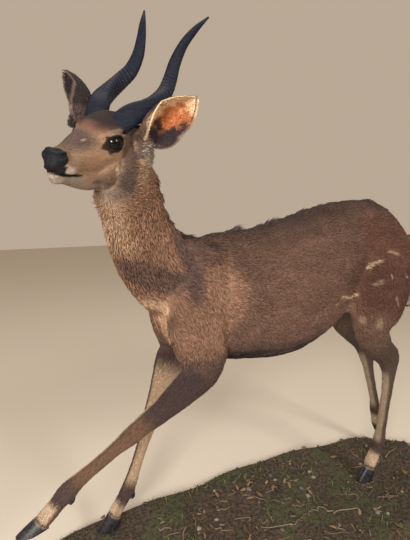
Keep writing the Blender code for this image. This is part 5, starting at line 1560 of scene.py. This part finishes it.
def build_litter():
    """Each leaf is four lines of points along a curved rib: two edges, and the rib's two faces."""
    count = LEAVES
    root = on_ground(count)
    heading = draw.uniform(0, 2 * math.pi, count)
    lie = np.stack([np.cos(heading), np.sin(heading), draw.normal(0.05, 0.22, count)], 1)
    lie = unit(lie)
    up = unit(np.stack([draw.normal(0, 0.3, count), draw.normal(0, 0.3, count), np.ones(count)], 1))
    across = unit(np.cross(up, lie))
    up = np.cross(lie, across)
    length, rings = draw.uniform(0.012, 0.030, count), 9
    t = np.linspace(0, 1, rings)
    width = np.sin(math.pi * np.clip(t, 0.02, 0.98) ** 0.8) * 0.24 * (1 + 0.15 * np.sin(t * 25))
    curl = draw.uniform(-0.25, 0.45, count)
    centre = root[:, None] + lie[:, None] * (length[:, None] * (t - 0.5))[..., None] \
        + up[:, None] * (0.0035 + length[:, None] * curl[:, None] * (t - 0.5) ** 2)[..., None]
    half = across[:, None] * (length[:, None] * width)[..., None]
    cup = up[:, None] * (length[:, None] * width * draw.uniform(0.1, 0.6, (count, 1)))[..., None]
    thin = up[:, None] * 0.00022
    points = np.stack([centre - half + cup, centre + thin, centre + half + cup, centre - thin], 2)
    faces = (grid(rings, 4)[None] + (np.arange(count) * rings * 4)[:, None, None]).reshape(-1, 4)
    leaves = make("ground_leaves", points.reshape(-1, 3), faces, "ground")
    tone = draw.uniform(0, 1, count)
    colour = mix((0.055, 0.034, 0.020), (0.260, 0.165, 0.085), tone) * (1 + draw.normal(0, 0.12, (count, 1)))
    attribute(leaves, "leaf", np.clip(colour, 0, 1).repeat(rings * 4, 0), "FLOAT_COLOR")
    leaves.data.materials.append(litter_paint("dry_leaf", 500.0, 4.0, 0.65, 0.7, 0.75, 0.4, 0.0006))


build_litter()

# Twigs and stones
# Broken twigs and small pebbles, pressed into the soil while it was soft. They are one piece, in which each
# keeps its own tint.

TWIGS, STONES = ((64, 70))
TWIG_SPREAD = (0.86, 0.62, 1)


def twig():
    """A thin bent tube lying on the soil, drawn in towards the base's middle so that it doesn't overhang."""
    start = on_ground(1, 0.90)[0]
    heading, length = draw.uniform(0, 2 * math.pi), draw.uniform(0.03, 0.11)
    t = np.linspace(0, 1, 6)
    bend = draw.normal(0, 0.006, (6, 3)) * [1, 1, 0.25]
    path = start + np.stack([np.cos(heading) * t, np.sin(heading) * t, 0 * t], 1) * length + bend
    middle = np.array([*BASE_MIDDLE, 0])
    path = middle + (path - middle) * TWIG_SPREAD
    path[:, 2] = ground_height(path[:, 0], path[:, 1]) + 0.0016
    thick = draw.uniform(0.0009, 0.0024) * (1 - 0.5 * t)
    return tube(np.concatenate([path, thick[:, None], thick[:, None]], 1), 18, 7, (0, 0, 1))


def stone():
    """A ball with uneven radii and a lumpy face, half sunk in the soil."""
    place = on_ground(1, 0.95)[0]
    size = draw.uniform(0.0025, 0.0085)
    p, f = ball((0, 0, 0), (size, size * draw.uniform(0.6, 1), size * 0.55), columns=16)
    return p * (1 + 0.22 * noise(p, 1.4 / size, 51))[:, None] @ yaw(draw.uniform(0, 360)).T + place, f


def build_twigs_and_stones():
    """All twigs and stones as one piece, each in its own tone from dark to pale."""
    parts, tints = [], []
    for count, part, dark, pale in ((TWIGS, twig, (0.070, 0.045, 0.030), (0.230, 0.170, 0.115)),
                                    (STONES, stone, (0.090, 0.080, 0.070), (0.260, 0.220, 0.180))):
        for _ in range(count):
            parts.append(part())
            tints.append(np.tile(mix(dark, pale, draw.random()), (len(parts[-1][0]), 1)))
    thing = make("ground_twigs_and_stones", *together(parts), slot="ground")
    attribute(thing, "leaf", np.concatenate(tints), "FLOAT_COLOR")
    tidy(thing)
    thing.data.materials.append(litter_paint("twig_and_stone", 380.0, 5.0, 0.55, 0.9, 0.85, 0.6, 0.001))


build_twigs_and_stones()

# Moss
# Short dried moss glued on in cushions, with a few blades of grass. Its tufts have the shape of the coat's,
# and they stand up.

MOSS_TUFTS = 15000


def build_moss():
    """Tufts as the coat's, standing up where a slow noise is high; one in twenty is a blade of grass."""
    p = on_ground(MOSS_TUFTS, 0.97)
    cushion = noise(p * [1, 1, 0], 17, 61) + 0.5 * noise(p * [1, 1, 0], 45, 62)
    p = p[cushion > 0.12]
    count = len(p)
    n = unit(np.stack([draw.normal(0, 0.35, count), draw.normal(0, 0.35, count), np.ones(count)], 1))
    heading = draw.uniform(0, 2 * math.pi, count)
    lie = np.stack([np.cos(heading), np.sin(heading), 0 * heading], 1)
    lie = unit(lie - dot(lie, n)[:, None] * n)
    grass = draw.random(count) < 0.05
    length = np.where(grass, draw.uniform(0.010, 0.026, count), draw.uniform(0.003, 0.007, count))
    width, lift = np.where(grass, 0.0014, 0.0019), np.full(count, 1.6)
    points, faces = blades(p, n, lie, length * 0.6, width, lift, sink=0.001)
    moss = make("ground_moss", points.reshape(-1, 3), faces, "ground")
    tone = mix((0.030, 0.040, 0.012), (0.120, 0.130, 0.040), draw.uniform(0, 1, count))
    tone = np.where(grass[:, None], mix(tone, (0.360, 0.290, 0.140), 0.8 * np.ones(count)), tone)
    attribute(moss, "leaf", (tone[:, None] * HAIR_TONE[None, :, None]).reshape(-1, 3), "FLOAT_COLOR")
    moss.data.materials.append(litter_paint("moss", 300.0, 3.0, 0.6, 0.8, 0.9, 0.3, 0.0008))


build_moss()

# Camera, light and floor
# The camera stands where the photograph was taken. Warm room light comes from both sides of it and from above.

CAMERA_AT = (-0.660, -0.958, 0.913 + BASE_TOP)
CAMERA_HEADING, CAMERA_PITCH, CAMERA_ROLL = np.radians([27.63, 10.74, 1.12])
# Focal length and the longer side of the photograph, in its pixels.
FOCAL_PIXELS, PHOTO_PIXELS = 436.64, 540
# Name, place, what it points at, size, power and colour of each lamp.
LAMPS = (
    ("window", (0.9, -2.6, 2.4), (-0.1, 0, 0.75), 0.8, 56.0, (1.0, 0.96, 0.91)),
    ("lamp", (-2.0, -2.1, 1.5), (-0.3, 0, 0.8), 0.7, 94.0, (1.0, 0.95, 0.90)),
    ("ceiling", (0.2, 0.9, 3.0), (0.0, 0, 0.7), 1.4, 18.0, (1.0, 0.97, 0.94)),
)
FLOOR_HALF = 6


def build_camera():
    """The photo's view: turned by the heading, then down by the pitch, then about its own axis by the roll."""
    ahead = Vector((math.sin(CAMERA_HEADING), math.cos(CAMERA_HEADING), 0))
    right = Vector((math.cos(CAMERA_HEADING), -math.sin(CAMERA_HEADING), 0))
    forward = ahead * math.cos(CAMERA_PITCH) - Vector((0, 0, math.sin(CAMERA_PITCH)))
    up = ahead * math.sin(CAMERA_PITCH) + Vector((0, 0, math.cos(CAMERA_PITCH)))
    across = right * math.cos(CAMERA_ROLL) + up * math.sin(CAMERA_ROLL)
    above = -right * math.sin(CAMERA_ROLL) + up * math.cos(CAMERA_ROLL)
    data = bpy.data.cameras.new("camera")
    data.sensor_width, data.clip_start = 36.0, 0.02
    data.lens = data.sensor_width * FOCAL_PIXELS / PHOTO_PIXELS
    camera = bpy.data.objects.new("camera", data)
    turned = Matrix((across, above, -forward)).transposed().to_4x4()
    camera.matrix_world = Matrix.Translation(CAMERA_AT) @ turned
    bpy.context.scene.collection.objects.link(camera)
    bpy.context.scene.camera = camera


def build_light():
    """A warm room's even light, and one area lamp for each row of LAMPS."""
    world = bpy.data.worlds.new("room")
    world.use_nodes = True
    world.node_tree.nodes["Background"].inputs[0].default_value = (0.93, 0.76, 0.58, 1.0)
    world.node_tree.nodes["Background"].inputs[1].default_value = 0.52
    bpy.context.scene.world = world
    bpy.context.scene.view_settings.view_transform = "Standard"
    for name, place, target, size, power, colour in LAMPS:
        light = bpy.data.lights.new(name, "AREA")
        light.size, light.energy, light.color = size, power, colour
        thing = bpy.data.objects.new(name, light)
        thing.location = place
        thing.rotation_euler = (Vector(target) - Vector(place)).to_track_quat("-Z", "Y").to_euler()
        bpy.context.scene.collection.objects.link(thing)


build_camera()
build_light()
floor = make("floor", np.array([(-1, -1, 0), (1, -1, 0), (1, 1, 0), (-1, 1, 0)]) * FLOOR_HALF, [(0, 1, 2, 3)])
floor.data.materials.append(Paint("floor", roughness=0.9).finish((0.62, 0.56, 0.48)))
